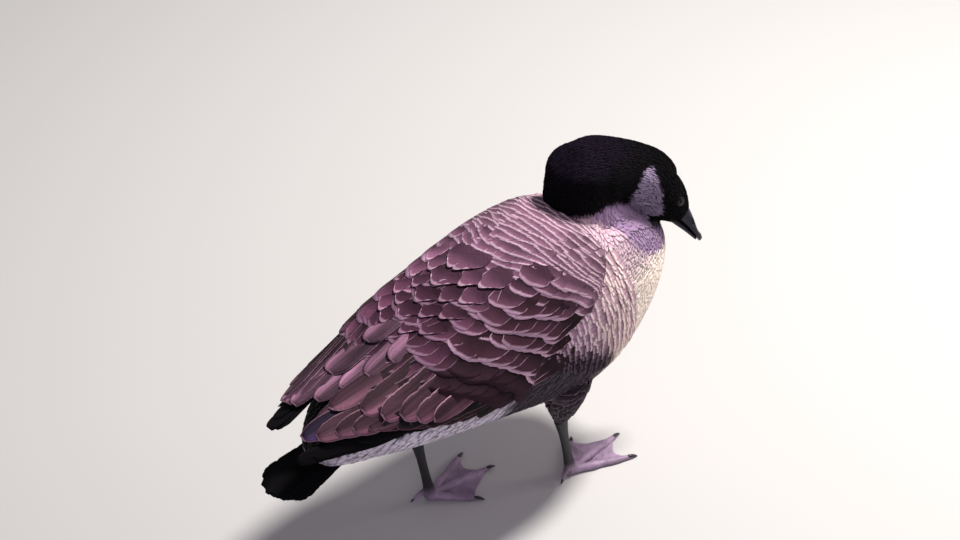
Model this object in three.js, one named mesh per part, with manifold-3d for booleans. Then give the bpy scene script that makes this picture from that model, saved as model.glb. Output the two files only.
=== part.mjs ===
// A life-size Canada goose in mid stride: body pitched nose up, neck folded, head bowed and turned to its right.
// Millimetres, +Z up, the bird faces +X and its left side is +Y. The origin is on the floor, under the middle of
// the whole bird. Every piece is a closed solid of its own, and neighbours keep a gap of about 0.3 mm.
import * as THREE from "three";
import { mergeVertices } from "three/addons/utils/BufferGeometryUtils.js";
import Module from "manifold-3d";

const wasm = await Module();
wasm.setup();

// Driving dimensions
const GAP = 0.35;
const DEGREE = Math.PI / 180;

// Torso: stations from the breast to the rump, each [x, top, bottom, half width]
const TORSO = [
  [237, 256, 256, 0],
  [226, 288, 222, 40],
  [194, 313, 178, 67],
  [148, 337, 136, 85],
  [92, 345, 114, 96],
  [25, 347, 124, 98],
  [-50, 328, 147, 95],
  [-120, 296, 167, 86],
  [-185, 271, 182, 69],
  [-226, 260, 190, 53],
  [-251, 246, 193, 40],
  [-269, 228, 196, 24],
  [-277, 210, 199, 0],
];
const TORSO_RINGS = 25;
const TORSO_SIDES = 28;
const WAIST = 0.52; // height of the widest part of a section, as a share of its depth
const FULLNESS = 2.15; // exponent of the sections: 2 is an ellipse

// Folded wing: the surface that its feathers lie on, in the same form as the torso
const WING_BED = [
  ...TORSO.slice(1, 7),
  [-120, 306, 169, 91],
  [-185, 286, 186, 79],
  [-245, 272, 202, 64],
  [-300, 262, 220, 46],
  [-350, 254, 230, 30],
];

// Edges of the folded wing on its bed, rows of [x, angle of the inner edge, angle of the lower edge] in degrees
const WING_EDGE = [
  [106, 22, 30],
  [84, 17, 47],
  [50, 16, 61],
  [0, 16, 63],
  [-42, 16, 77],
  [-62, 16, 98],
  [-93, 16, 96],
  [-128, 16, 90],
  [-162, 15, 83],
  [-195, 14, 76],
  [-228, 13, 62],
  [-262, 12, 48],
  [-302, 12, 32],
];
const WING_UNDER = 2.2; // height of its underside above the bed
const WING_THICKNESS = 6;

// Rows of coverts and scapulars: how far back each row's tips lie, as a share of the way from the front edge to
// the long feathers. Their lines are rows of [angle, x]
const COVERT_ROWS = [0.2, 0.4, 0.6, 0.8, 1];
const COVERT_FRONT = [[18, 106], [32, 102], [47, 84], [58, 58], [63, 4], [70, -28], [80, -46], [98, -62]];
const COVERT_REAR = [[18, -178], [32, -164], [47, -146], [58, -132], [63, -126], [70, -120], [80, -112], [98, -104]];
const COVERT = { width: 36, lift: 2.4, tilt: 0.5, first: 17, last: 95 };

// Long feathers of the folded wing, from the innermost tertial to the outermost secondary,
// each [x and angle of the root, x and angle of the tip, width]
const FLIGHT = [
  [-100, 25, -280, 17, 30],
  [-96, 34, -304, 24, 31],
  [-92, 43, -292, 33, 31],
  [-90, 51, -274, 39, 30],
  [-88, 58, -258, 45, 29],
  [-86, 64, -244, 50, 26],
  [-84, 70, -231, 56, 25],
  [-82, 75, -218, 62, 24],
  [-80, 80, -204, 68, 23],
  [-78, 84, -189, 74, 22],
  [-76, 88, -172, 80, 21],
  [-74, 91, -153, 85, 20],
  [-72, 94, -130, 90, 19],
];
const FLIGHT_THICKNESS = 1.3;
const FLIGHT_LIFT = [8, 4.4]; // height of the innermost and the outermost above the bed

// The black band of folded primaries under the wing: rows of [x, angle of its upper edge, angle of its lower edge],
// then the tips that stand free of it, rows of [x and angle of the root, x and angle of the tip, width]
const PRIMARY_EDGE = [
  [-52, 92, 110],
  [-93, 88, 108],
  [-128, 80, 102],
  [-163, 72, 96],
  [-207, 62, 92],
  [-242, 56, 88],
];
const PRIMARY_TOP = 1.1;
const PRIMARY_THICKNESS = 3.5;
const PRIMARIES = [
  [-195, 68, -262, 56, 19],
  [-200, 73, -284, 58, 19],
  [-205, 78, -303, 60, 18],
  [-210, 83, -319, 60, 17],
];

// Neck: centres of its sections from inside the shoulders up to the nape, each [x, y, z, half width, half depth]
const NECK_LOWER = [
  [150, 0, 262, 62, 66],
  [134, 0, 306, 50, 54],
  [118, -3, 346, 41, 43],
  [116, -4, 376, 39, 40],
  [117, -4, 400, 35, 33],
  [116, -4, 419, 4, 4],
];
const NECK_UPPER = [
  [108, -3, 377, 30, 30],
  [132, -6, 378, 40, 40],
  [170, -13, 368, 33, 34],
  [203, -22, 347, 30, 34],
  [214, -28, 331, 27, 32],
];

// Head: its own frame has +X towards the bill. Stations from the nape to the bill, each [x, top, bottom, half width]
const HEAD_AT = new THREE.Vector3(223, -31, 317);
const HEAD_YAW = -38 * DEGREE;
const HEAD_PITCH = 47 * DEGREE;
const HEAD_ROLL = -15 * DEGREE;
const HEAD = [
  [-46, 0, 0, 0],
  [-39, 18, -17, 17],
  [-22, 28, -26, 24],
  [0, 28.5, -28, 25],
  [18, 23, -24, 21],
  [30, 16, -19, 15.5],
  [38, 10.5, -15, 11.5],
];
const EYE = { x: 13, y: 18.2, z: 8, radius: 5.4 };
const LID = { y: 20.9, radius: 5, thickness: 1.1 };

// Bill: stations in the head's frame, each [x, culmen, mouth line, half width]
const BILL_UPPER = [
  [28, 12, -9, 11.5],
  [40, 9, -8.5, 11],
  [54, 3.5, -8.5, 10],
  [66, -2, -9.2, 9],
  [75, -4.2, -10.4, 7.6],
  [80, -6.5, -11.6, 4.2],
];
const BILL_LOWER = [
  [28, -9.4, -17, 10],
  [40, -8.9, -15.8, 9.4],
  [54, -8.9, -14.4, 8.4],
  [66, -9.6, -13.8, 7.2],
  [74, -10.8, -13.6, 5.4],
];

const NOSTRIL = { x: 50, y: 10, z: -0.5, size: [5.5, 1.8, 1.7] };
const MOUTH_CORNER = { x: 26, y: 17, z: -9.4, size: [14, 8, 0.9] };

// Legs: hip and knee side, hock, and foot joint, then the foot's own turn
const LEGS = {
  right: { side: -1, thigh: [46, -58, 160], hock: [50, -48, 94], foot: [66, -50, 12], turn: 4 * DEGREE },
  left: { side: 1, thigh: [-40, 56, 170], hock: [-92, 44, 96], foot: [-82, 33, 12], turn: -8 * DEGREE },
};
const THIGH_RADIUS = 30;
const SHANK_RADII = [8, 5.8, 5.2, 6.4];
const TOES = [
  { spread: 38 * DEGREE, length: 56, radius: 4.8 },
  { spread: 0, length: 86, radius: 5.3 },
  { spread: -28 * DEGREE, length: 79, radius: 4.9 },
];
const WEB_THICKNESS = 2;
const ANKLE_RADIUS = 8;
const HIND_TOE = { length: 17, radius: 3.2, height: 16 };
const CLAW = { length: 8, radius: 2.5 };

// Tail: a closed fan of feathers
const TAIL = { root: [-236, 0, 212], tip: [-337, -2, 196], count: 11, halfWidth: 27, spread: 7 * DEGREE };
const RECTRIX = { width: 17, thickness: 1.2, step: 0.6 };

// Interpolates rows of numbers smoothly, with t counted in rows
function spline(rows, t) {
  const last = rows.length - 1;
  const i = Math.max(0, Math.min(Math.floor(t), last - 1));
  const f = t - i;
  const cell = (k, c) => {
    if (k < 0) return 2 * rows[0][c] - rows[1][c];
    if (k > last) return 2 * rows[last][c] - rows[last - 1][c];
    return rows[k][c];
  };
  return rows[0].map((_, c) => {
    const [a, b, d, e] = [cell(i - 1, c), cell(i, c), cell(i + 1, c), cell(i + 2, c)];
    return b + 0.5 * f * (d - a + f * (2 * a - 5 * b + 4 * d - e + f * (3 * (b - d) + e - a)));
  });
}

// The row count t at which the first column, which falls or rises all the way, reaches x
function rowAt(rows, x) {
  let [low, high] = [0, rows.length - 1];
  const falling = rows[0][0] > rows[high][0];
  for (let k = 0; k < 30; k++) {
    const middle = (low + high) / 2;
    if (spline(rows, middle)[0] > x === falling) low = middle;
    else high = middle;
  }
  return (low + high) / 2;
}

// A point on a section given as [x, top, bottom, half width]. Angle 0 is the top and 90 degrees is the side at -Y
function sectionPoint([x, top, bottom, half], angle, offset = 0, waist = WAIST, fullness = FULLNESS) {
  const rounded = (v) => Math.sign(v) * Math.abs(v) ** (2 / fullness);
  const middle = bottom + (top - bottom) * waist;
  const reach = Math.cos(angle) > 0 ? top - middle : middle - bottom;
  return new THREE.Vector3(
    x,
    -rounded(Math.sin(angle)) * (half + offset),
    middle + rounded(Math.cos(angle)) * (reach + offset),
  );
}

// A closed geometry through rings of points. A ring of one point is a pole, and other end rings are capped flat
function loft(rings) {
  const points = rings.flat();
  const index = [];
  const starts = rings.map((_, i) => rings.slice(0, i).reduce((sum, ring) => sum + ring.length, 0));
  for (let i = 0; i + 1 < rings.length; i++) {
    const [a, b] = [rings[i].length, rings[i + 1].length];
    const n = Math.max(a, b);
    for (let j = 0; j < n; j++) {
      const k = (j + 1) % n;
      const [p, q] = [starts[i] + (a > 1 ? j : 0), starts[i] + (a > 1 ? k : 0)];
      const [r, s] = [starts[i + 1] + (b > 1 ? j : 0), starts[i + 1] + (b > 1 ? k : 0)];
      if (p !== q) index.push(p, q, r);
      if (r !== s) index.push(q, s, r);
    }
  }
  const cap = (ring, start, turned) => {
    if (ring.length === 1) return;
    const centre = points.length;
    points.push(ring.reduce((sum, p) => sum.add(p), new THREE.Vector3()).divideScalar(ring.length));
    ring.forEach((_, j) => {
      const edge = [start + j, start + ((j + 1) % ring.length)];
      index.push(centre, ...(turned ? edge : edge.reverse()));
    });
  };
  cap(rings[0], starts[0], false);
  cap(rings.at(-1), starts.at(-1), true);
  return new THREE.BufferGeometry().setFromPoints(points).setIndex(index);
}

// A geometry as a solid that can be joined and cut, with its faces pointing out
function solid(geometry) {
  const bare = geometry.clone();
  bare.deleteAttribute("normal");
  bare.deleteAttribute("uv");
  const merged = mergeVertices(bare, 1e-4);
  const vertProperties = merged.attributes.position.array;
  const triVerts = new Uint32Array(merged.index.array);
  const made = new wasm.Manifold(new wasm.Mesh({ numProp: 3, vertProperties, triVerts }));
  if (made.volume() > 0) return made;
  for (let i = 0; i < triVerts.length; i += 3)
    [triVerts[i + 1], triVerts[i + 2]] = [triVerts[i + 2], triVerts[i + 1]];
  return new wasm.Manifold(new wasm.Mesh({ numProp: 3, vertProperties, triVerts }));
}

const joined = (solids) => wasm.Manifold.union(solids);

// The largest closed surface of a solid, which leaves sealed hollows and loose scraps out
function largest(made) {
  return made.decompose().reduce((best, piece) => (piece.volume() > best.volume() ? piece : best));
}

function bird(parts) {
  const group = new THREE.Group();
  for (const [name, [made, material]] of Object.entries(parts)) {
    const mesh = largest(made).getMesh();
    const geometry = new THREE.BufferGeometry();
    const count = mesh.numVert;
    const places = new Float32Array(count * 3);
    for (let i = 0; i < count; i++)
      places.set(mesh.vertProperties.subarray(i * mesh.numProp, i * mesh.numProp + 3), i * 3);
    geometry.setAttribute("position", new THREE.BufferAttribute(places, 3));
    geometry.setIndex(new THREE.BufferAttribute(mesh.triVerts, 1));
    geometry.computeVertexNormals();
    const piece = new THREE.Mesh(geometry, material);
    piece.name = name;
    group.add(piece);
  }
  return group;
}

// Torso

function ringsOf(rows, { from = 0, to = rows.length - 1, count, sides, offset = 0, waist, fullness }) {
  return Array.from({ length: count }, (_, i) => {
    const row = spline(rows, from + ((to - from) * i) / (count - 1));
    if (row[3] < 0.01) return [new THREE.Vector3(row[0] + Math.sign(row[0]) * offset, 0, row[1])];
    return Array.from({ length: sides }, (_, j) =>
      sectionPoint(row, (2 * Math.PI * j) / sides, offset, waist, fullness),
    );
  });
}

function torsoSolid(offset = 0) {
  return solid(loft(ringsOf(TORSO, { count: TORSO_RINGS, sides: TORSO_SIDES, offset })));
}

// Neck and head

// A tube through rows [x, y, z, half width, half depth], its width kept level
function tube(rows, { count, sides, offset = 0 }) {
  const rings = Array.from({ length: count }, (_, i) => {
    const t = ((rows.length - 1) * i) / (count - 1);
    const [x, y, z, wide, deep] = spline(rows, t);
    const step = 0.05;
    const before = spline(rows, Math.max(0, t - step));
    const after = spline(rows, Math.min(rows.length - 1, t + step));
    const along = new THREE.Vector3(after[0] - before[0], after[1] - before[1], after[2] - before[2]).normalize();
    const level = new THREE.Vector3(-along.y, along.x, 0);
    if (level.length() < 0.2) level.set(0, 1, 0);
    const across = level.normalize();
    if (across.y < 0) across.negate();
    const up = new THREE.Vector3().crossVectors(along, across).normalize();
    return Array.from({ length: sides }, (_, j) => {
      const angle = (2 * Math.PI * j) / sides;
      return new THREE.Vector3(x, y, z)
        .addScaledVector(across, Math.cos(angle) * (wide + offset))
        .addScaledVector(up, Math.sin(angle) * (deep + offset));
    });
  });
  return loft(rings);
}

const headPose = new THREE.Matrix4()
  .makeTranslation(HEAD_AT.x, HEAD_AT.y, HEAD_AT.z)
  .multiply(new THREE.Matrix4().makeRotationZ(HEAD_YAW))
  .multiply(new THREE.Matrix4().makeRotationY(HEAD_PITCH))
  .multiply(new THREE.Matrix4().makeRotationX(HEAD_ROLL));

function headSolid(offset = 0) {
  const rings = ringsOf(HEAD, { count: 15, sides: 22, offset, waist: 0.5, fullness: 2.1 });
  return solid(loft(rings).applyMatrix4(headPose));
}

function eyeSolid(side, offset = 0) {
  const ball = new THREE.SphereGeometry(EYE.radius + offset, 12, 8);
  return solid(ball.translate(EYE.x, side * EYE.y, EYE.z).applyMatrix4(headPose));
}

const inHead = (geometry) => solid(geometry.applyMatrix4(headPose));

function lidSolid(side) {
  const ring = new THREE.TorusGeometry(LID.radius, LID.thickness, 5, 12);
  return inHead(ring.rotateX(90 * DEGREE).rotateX(side * 14 * DEGREE).translate(EYE.x, side * LID.y, EYE.z));
}

function nostrilSolid(side) {
  const { x, y, z, size } = NOSTRIL;
  return inHead(new THREE.SphereGeometry(1, 8, 6).scale(...size).translate(x, side * y, z));
}

function mouthCornerSolid(side) {
  const { x, y, z, size } = MOUTH_CORNER;
  return inHead(new THREE.BoxGeometry(...size).translate(x, side * y, z));
}

const twoSided = (make) => joined([make(1), make(-1)]);

function billSolid(rows, offset = 0) {
  const rings = Array.from({ length: 9 }, (_, i) => {
    const row = spline(rows, ((rows.length - 1) * i) / 8);
    return Array.from({ length: 14 }, (_, j) => sectionPoint(row, (2 * Math.PI * j) / 14, offset, 0.4, 2.6));
  });
  return solid(loft(rings).applyMatrix4(headPose));
}

// Legs and feet

// A tube through points, with a radius at each
function tubeSolid(points, radii, { sides, offset = 0 }) {
  const rows = points.map((p, i) => [...p, radii[i], radii[i]]);
  return solid(tube(rows, { count: 3 * points.length - 2, sides, offset }));
}

const between = (a, b, share) => a.map((v, i) => v + (b[i] - v) * share);

function footFrame(leg) {
  return new THREE.Matrix4()
    .makeTranslation(leg.foot[0], leg.foot[1], 0)
    .multiply(new THREE.Matrix4().makeRotationZ(leg.turn));
}

// A toe that lies along the floor, knuckled at its joints, with its claw
function toeSolids(leg, toe) {
  const along = [Math.cos(toe.spread), leg.side * -Math.sin(toe.spread)];
  const at = (reach, height, wide, deep) => [along[0] * reach, along[1] * reach, height, wide, deep];
  const { length, radius } = toe;
  const rows = [
    at(-0.05 * length, 8, radius + 1.5, 6.5),
    at(0.2 * length, 4.6, radius * 0.92, 5),
    at(0.4 * length, 4.3, radius * 1.04, 4.8),
    at(0.58 * length, 3.6, radius * 0.84, 4),
    at(0.74 * length, 3.4, radius * 0.92, 3.8),
    at(0.9 * length, 2.8, radius * 0.66, 3),
    at(length, 2.4, radius * 0.5, 2.4),
  ];
  const claw = [
    at(length - 3, 3.4, CLAW.radius, CLAW.radius),
    at(length + 0.55 * CLAW.length, 3, CLAW.radius * 0.62, CLAW.radius * 0.7),
    at(length + CLAW.length, 1, 0.5, 0.5),
  ];
  return [
    solid(tube(rows, { count: 7, sides: 7 }).applyMatrix4(footFrame(leg))),
    solid(tube(claw, { count: 3, sides: 5 }).applyMatrix4(footFrame(leg))),
  ];
}

function webSolid(leg) {
  const [inner, middle, outer] = TOES.map(({ spread, length }) => {
    const reach = length * 0.94;
    return new THREE.Vector2(Math.cos(spread) * reach, leg.side * -Math.sin(spread) * reach);
  });
  const shape = new THREE.Shape();
  shape.moveTo(-4, 0);
  shape.lineTo(inner.x, inner.y);
  for (const [a, b] of [[inner, middle], [middle, outer]]) {
    const dip = a.clone().add(b).multiplyScalar(0.5 * 0.88);
    shape.quadraticCurveTo(dip.x, dip.y, b.x, b.y);
  }
  shape.lineTo(-4, 0);
  const sheet = new THREE.ExtrudeGeometry(shape, { depth: WEB_THICKNESS, bevelEnabled: false, curveSegments: 3 });
  return solid(sheet.applyMatrix4(footFrame(leg)));
}

function hindToeSolids(leg) {
  const { length, radius, height } = HIND_TOE;
  const rows = [
    [-2, 0, height, radius + 1, radius + 1],
    [-2 - length * 0.6, leg.side * 3, height * 0.7, radius, radius],
    [-2 - length, leg.side * 5, height * 0.38, radius * 0.6, radius * 0.6],
    [-2 - length * 1.25, leg.side * 6, height * 0.1, 0.5, 0.5],
  ];
  return [solid(tube(rows, { count: 4, sides: 6 }).applyMatrix4(footFrame(leg)))];
}

const floorCutter = solid(new THREE.BoxGeometry(1000, 1000, 100).translate(0, 0, -50));

function footSolid(leg) {
  const ankle = new THREE.SphereGeometry(ANKLE_RADIUS, 8, 6).scale(1, 1, 1.1).translate(0, 0, 9);
  return joined([
    ...TOES.flatMap((toe) => toeSolids(leg, toe)),
    ...hindToeSolids(leg),
    webSolid(leg),
    solid(ankle.applyMatrix4(footFrame(leg))),
  ]).subtract(floorCutter);
}

function shankSolid(leg, offset = 0) {
  const points = [0, 0.22, 0.75, 1].map((share) => between(leg.hock, leg.foot, share));
  return tubeSolid(points, SHANK_RADII, { sides: 10, offset });
}

function thighSolid(leg, offset = 0) {
  const points = [leg.thigh, between(leg.thigh, leg.hock, 0.55), leg.hock];
  return tubeSolid(points, [THIGH_RADIUS, THIGH_RADIUS * 0.72, 9], { sides: 16, offset });
}

// Wings

// Reads the second column of rows at a value of the first, with straight lines between rows
function lookUp(rows, value, column = 1) {
  const rising = rows[0][0] < rows.at(-1)[0];
  const k = rows.findIndex((row) => (rising ? row[0] >= value : row[0] <= value));
  if (k === 0) return rows[0][column];
  if (k < 0) return rows.at(-1)[column];
  const [a, b] = [rows[k - 1], rows[k]];
  return a[column] + ((b[column] - a[column]) * (value - a[0])) / (b[0] - a[0]);
}

// A point over the wing bed at a place along the bird and an angle from the top, in degrees, on the given side
function onBed(x, angle, side, offset) {
  const row = spline(WING_BED, rowAt(WING_BED, x));
  return sectionPoint(row, -side * angle * DEGREE, offset);
}

// A sheet between two edges on the bed, from height under to height over, both functions of x and angle
function slab(edges, side, { count, steps, over, under }) {
  const rings = Array.from({ length: count }, (_, i) => {
    const [x, inner, lower] = spline(edges, ((edges.length - 1) * i) / (count - 1));
    const angles = Array.from({ length: steps + 1 }, (_, j) => inner + ((lower - inner) * j) / steps);
    const top = angles.map((angle) => onBed(x, angle, side, over(x, angle)));
    const base = angles.reverse().map((angle) => onBed(x, angle, side, under));
    return [...top, ...base];
  });
  return solid(loft(rings));
}

// Height of the wing's body above the bed: low at its edges and thinner to the rear
function wingTop(x, angle) {
  const [inner, lower] = [lookUp(WING_EDGE, x, 1), lookUp(WING_EDGE, x, 2)];
  const share = THREE.MathUtils.clamp((angle - inner) / (lower - inner), 0, 1);
  const rear = THREE.MathUtils.smoothstep(-x, 120, 235);
  return WING_UNDER + WING_THICKNESS * (1 - 0.5 * rear) * (0.25 + 0.75 * Math.sin(Math.PI * share) ** 0.6);
}

// Outline of a long feather: how wide it is at shares of its length
const LONG = [[0, 0.55], [0.5, 1], [0.88, 0.9], [1, 0.45]];

// A feather on the bed, from [x, angle] to [x, angle]. Its top rises from low to high, its underside is a function
// of its place along the feather, and one edge stands higher than the other by twice the tilt
function vane(side, { from, to, width, low, high, under, tilt = 0, camber = 0.5, shape = LONG }) {
  const scale = 82 * DEGREE;
  const [a, b] = [from, to].map(([x, angle]) => new THREE.Vector2(x, angle * scale));
  const along = b.clone().sub(a).normalize();
  const across = new THREE.Vector2(-along.y, along.x);
  const rings = shape.map(([share, wide]) => {
    const centre = a.clone().lerp(b, share);
    const half = (width * wide) / 2;
    const top = low + (high - low) * share;
    const place = (shift, height) => {
      const p = centre.clone().addScaledVector(across, shift);
      return onBed(p.x, p.y / scale, side, height(p.x, p.y / scale));
    };
    const upper = (extra) => (x, angle) => top + extra + (under.rides ? under.rides(x, angle) : 0);
    const lower = (extra) => (x, angle) => under.at(share, top) + extra + (under.rides ? under.rides(x, angle) : 0);
    const crest = camber ? [place(0, upper(camber))] : [];
    return [
      place(-half, upper(tilt)),
      ...crest,
      place(half, upper(-tilt)),
      place(half, lower(-tilt)),
      place(-half, lower(tilt)),
    ];
  });
  return solid(loft(rings));
}

// A covert's underside is sunk in the wing, and a long feather's is one thickness below its top
const sunk = { rides: wingTop, at: () => -0.9 };
const thin = (thickness) => ({ at: (_, top) => top - thickness });

function coverts(side) {
  const made = [];
  COVERT_ROWS.forEach((v, r) => {
    const before = r ? COVERT_ROWS[r - 1] : 0;
    const line = (angle, share) => {
      const [front, rear] = [lookUp(COVERT_FRONT, angle), lookUp(COVERT_REAR, angle)];
      return front + (rear - front) * share;
    };
    const count = 4;
    for (let k = 0; k <= count; k++) {
      const angle = COVERT.first + ((COVERT.last - COVERT.first) * (k + (r % 2) / 2)) / (count + 0.5);
      const tip = line(angle, v);
      const root = Math.max(line(angle, before), tip + 14) + 5;
      if (root - tip < 15) continue;
      const spread = THREE.MathUtils.clamp((root - tip) / 30, 0.6, 1);
      made.push(
        vane(side, {
          from: [root, angle - 3],
          to: [tip, angle],
          width: COVERT.width * spread,
          low: -0.4,
          high: COVERT.lift * spread,
          under: sunk,
          tilt: COVERT.tilt,
          camber: 0.7,
          shape: [[0, 0.55], [0.7, 1], [1, 0.45]],
        }),
      );
    }
  });
  return made;
}

function wingSolid(side) {
  const body = slab(WING_EDGE.slice(0, -2), side, { count: 14, steps: 6, over: wingTop, under: WING_UNDER });
  const long = FLIGHT.map(([x0, a0, x1, a1, width], k) => {
    const height = THREE.MathUtils.lerp(...FLIGHT_LIFT, k / (FLIGHT.length - 1));
    const under = thin(FLIGHT_THICKNESS);
    return vane(side, { from: [x0, a0], to: [x1, a1], width, low: height, high: height - 1, under, tilt: 0.6 });
  });
  return joined([body, ...coverts(side), ...long]);
}

function primarySolid(side, offset = 0) {
  const under = PRIMARY_TOP - PRIMARY_THICKNESS - offset;
  const band = slab(PRIMARY_EDGE, side, { count: 8, steps: 3, over: () => PRIMARY_TOP + offset, under });
  const tips = PRIMARIES.map(([x0, a0, x1, a1, width], k) => {
    const height = PRIMARY_TOP - 0.2 - 0.3 * k + offset;
    const flat = { low: height, high: height, under: thin(1.1 + 2 * offset), camber: 0 };
    const shape = [[0, 0.8], [0.5, 1], [0.88, 0.9], [1, 0.35]];
    return vane(side, { from: [x0, a0], to: [x1, a1], width: width + 2 * offset, shape, ...flat });
  });
  return joined([band, ...tips]);
}

// Tail: a closed fan, its middle feathers on top, rooted in a short core
function tailSolid() {
  const [root, tip] = [new THREE.Vector3(...TAIL.root), new THREE.Vector3(...TAIL.tip)];
  const reach = root.distanceTo(tip);
  const along = tip.clone().sub(root).normalize();
  const across = new THREE.Vector3(0, 1, 0).addScaledVector(along, -along.y).normalize();
  const up = new THREE.Vector3().crossVectors(across, along).normalize();
  if (up.z < 0) up.negate();
  const place = (far, wide, high) =>
    root.clone().addScaledVector(along, far).addScaledVector(across, wide).addScaledVector(up, high);
  const feathers = Array.from({ length: TAIL.count }, (_, k) => {
    const share = (2 * k) / (TAIL.count - 1) - 1;
    const turn = share * TAIL.spread;
    const start = share * (TAIL.halfWidth - RECTRIX.width / 2) * 0.8;
    const length = reach * (1 - 0.16 * share * share);
    const top = 2 - RECTRIX.step * Math.abs(k - (TAIL.count - 1) / 2);
    const rings = [[0, 0.8], [0.88, 1], [1, 0.45]].map(([s, wide]) => {
      const middle = start + Math.sin(turn) * length * s;
      const half = (RECTRIX.width * wide) / 2;
      const lean = 0.35 * Math.sign(share);
      const far = Math.cos(turn) * length * s;
      return [
        place(far, middle - half, top + lean),
        place(far, middle, top + 0.4),
        place(far, middle + half, top - lean),
        place(far, middle + half, top - lean - RECTRIX.thickness),
        place(far, middle - half, top + lean - RECTRIX.thickness),
      ];
    });
    return solid(loft(rings));
  });
  const core = [0, 0.25, 0.5, 0.66].map((s) => {
    const half = TAIL.halfWidth * (0.85 + 0.2 * s) * (s > 0.6 ? 0.6 : 1);
    const thick = 7 - 9 * s;
    return Array.from({ length: 10 }, (_, j) => {
      const angle = (2 * Math.PI * j) / 10;
      return place(reach * s, half * Math.cos(angle), -1 + thick * Math.sin(angle));
    });
  });
  return joined([solid(loft(core)), ...feathers]);
}

const surface = (colour) => new THREE.MeshStandardMaterial({ color: colour, roughness: 0.9, metalness: 0 });
const black = surface(0x171316);
const brown = surface(0x6e4c56);
const cream = surface(0xd9c6b8);
const grey = surface(0x2a2530);
const shine = new THREE.MeshStandardMaterial({ color: 0x1a0f0a, roughness: 0.1, metalness: 0 });

const torso = torsoSolid();
const torsoRoom = torsoSolid(GAP);
const headRoom = headSolid(GAP);
const neckLower = (offset) => solid(tube(NECK_LOWER, { count: 13, sides: 20, offset }));
const neckUpper = solid(tube(NECK_UPPER, { count: 8, sides: 18 }));
const face = joined([headSolid(), twoSided(lidSolid)]);
const upperBill = billSolid(BILL_UPPER).subtract(headRoom);
const lowerBill = billSolid(BILL_LOWER).subtract(headRoom);
const primaryRoom = twoSided((side) => primarySolid(side, GAP));
const parts = {
  torso: [torso.subtract(headRoom), cream],
  neck_lower: [neckLower(0).subtract(torsoRoom).subtract(headRoom), black],
  neck_upper: [neckUpper.subtract(torsoRoom).subtract(neckLower(GAP)).subtract(headRoom), black],
  head: [face.subtract(twoSided((side) => eyeSolid(side, GAP))).subtract(twoSided(mouthCornerSolid)), black],
  bill_upper: [upperBill.subtract(twoSided(nostrilSolid)), black],
  bill_lower: [lowerBill.subtract(billSolid(BILL_UPPER, GAP)), black],
  eye_left: [eyeSolid(1), shine],
  eye_right: [eyeSolid(-1), shine],
  tail: [tailSolid().subtract(torsoRoom).subtract(primaryRoom), black],
};
for (const [name, leg] of Object.entries(LEGS)) {
  const wing = wingSolid(leg.side).subtract(torsoRoom).subtract(neckLower(GAP)).subtract(primaryRoom);
  parts["wing_" + name] = [wing, brown];
  parts["primaries_" + name] = [primarySolid(leg.side).subtract(torsoRoom), black];
  parts["thigh_" + name] = [thighSolid(leg).subtract(torsoRoom), brown];
  parts["shank_" + name] = [shankSolid(leg).subtract(thighSolid(leg, GAP)), grey];
  parts["foot_" + name] = [footSolid(leg).subtract(shankSolid(leg, GAP)), grey];
}

const goose = bird(parts);
const bounds = new THREE.Box3().setFromObject(goose);
const centre = bounds.getCenter(new THREE.Vector3());
goose.position.set(-centre.x, -centre.y, -bounds.min.z);
export default goose;
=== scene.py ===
"""A life-size Canada goose in mid stride, as a museum model shows it.

Lengths are in millimetres in the model's own design frame, +X the way the bird faces and +Y its left side,
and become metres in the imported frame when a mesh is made."""
import math

import bpy
import numpy as np
from mathutils import Matrix, Vector
from mathutils.bvhtree import BVHTree
from mathutils.kdtree import KDTree


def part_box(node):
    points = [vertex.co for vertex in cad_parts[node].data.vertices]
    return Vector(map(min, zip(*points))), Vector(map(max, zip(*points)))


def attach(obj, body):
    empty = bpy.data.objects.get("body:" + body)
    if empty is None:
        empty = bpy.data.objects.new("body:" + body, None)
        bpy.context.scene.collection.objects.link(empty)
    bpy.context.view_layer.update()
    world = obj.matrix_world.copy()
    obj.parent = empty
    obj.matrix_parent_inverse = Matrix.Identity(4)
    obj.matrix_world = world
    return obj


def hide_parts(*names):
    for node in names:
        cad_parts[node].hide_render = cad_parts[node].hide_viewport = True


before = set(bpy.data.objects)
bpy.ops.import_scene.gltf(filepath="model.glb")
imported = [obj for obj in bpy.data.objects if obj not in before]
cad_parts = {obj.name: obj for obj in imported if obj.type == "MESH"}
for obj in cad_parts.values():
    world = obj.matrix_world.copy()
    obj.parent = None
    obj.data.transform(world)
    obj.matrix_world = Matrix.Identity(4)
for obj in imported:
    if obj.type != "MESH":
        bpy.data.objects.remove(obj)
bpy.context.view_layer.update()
random = np.random.default_rng(7)
DEGREE = math.pi / 180
SIDES = (("right", -1), ("left", 1))

# Measures shared with the solids

TORSO = [
    (237, 256, 256, 0), (226, 288, 222, 40), (194, 313, 178, 67), (148, 337, 136, 85), (92, 345, 114, 96),
    (25, 347, 124, 98), (-50, 328, 147, 95), (-120, 296, 167, 86), (-185, 271, 182, 69),
    (-226, 260, 190, 53), (-251, 246, 193, 40), (-269, 228, 196, 24), (-277, 210, 199, 0),
]
WAIST = 0.52
FULLNESS = 2.15
WING_BED = TORSO[1:7] + [
    (-120, 306, 169, 91), (-185, 286, 186, 79), (-245, 272, 202, 64), (-300, 262, 220, 46),
    (-350, 254, 230, 30),
]
WING_EDGE = [
    (106, 22, 30), (84, 17, 47), (50, 16, 61), (0, 16, 63), (-42, 16, 77), (-62, 16, 98), (-93, 16, 96),
    (-128, 16, 90), (-162, 15, 83), (-195, 14, 76), (-228, 13, 62), (-262, 12, 48), (-302, 12, 32),
]
WING_UNDER = 2.2
WING_THICKNESS = 6
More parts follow.
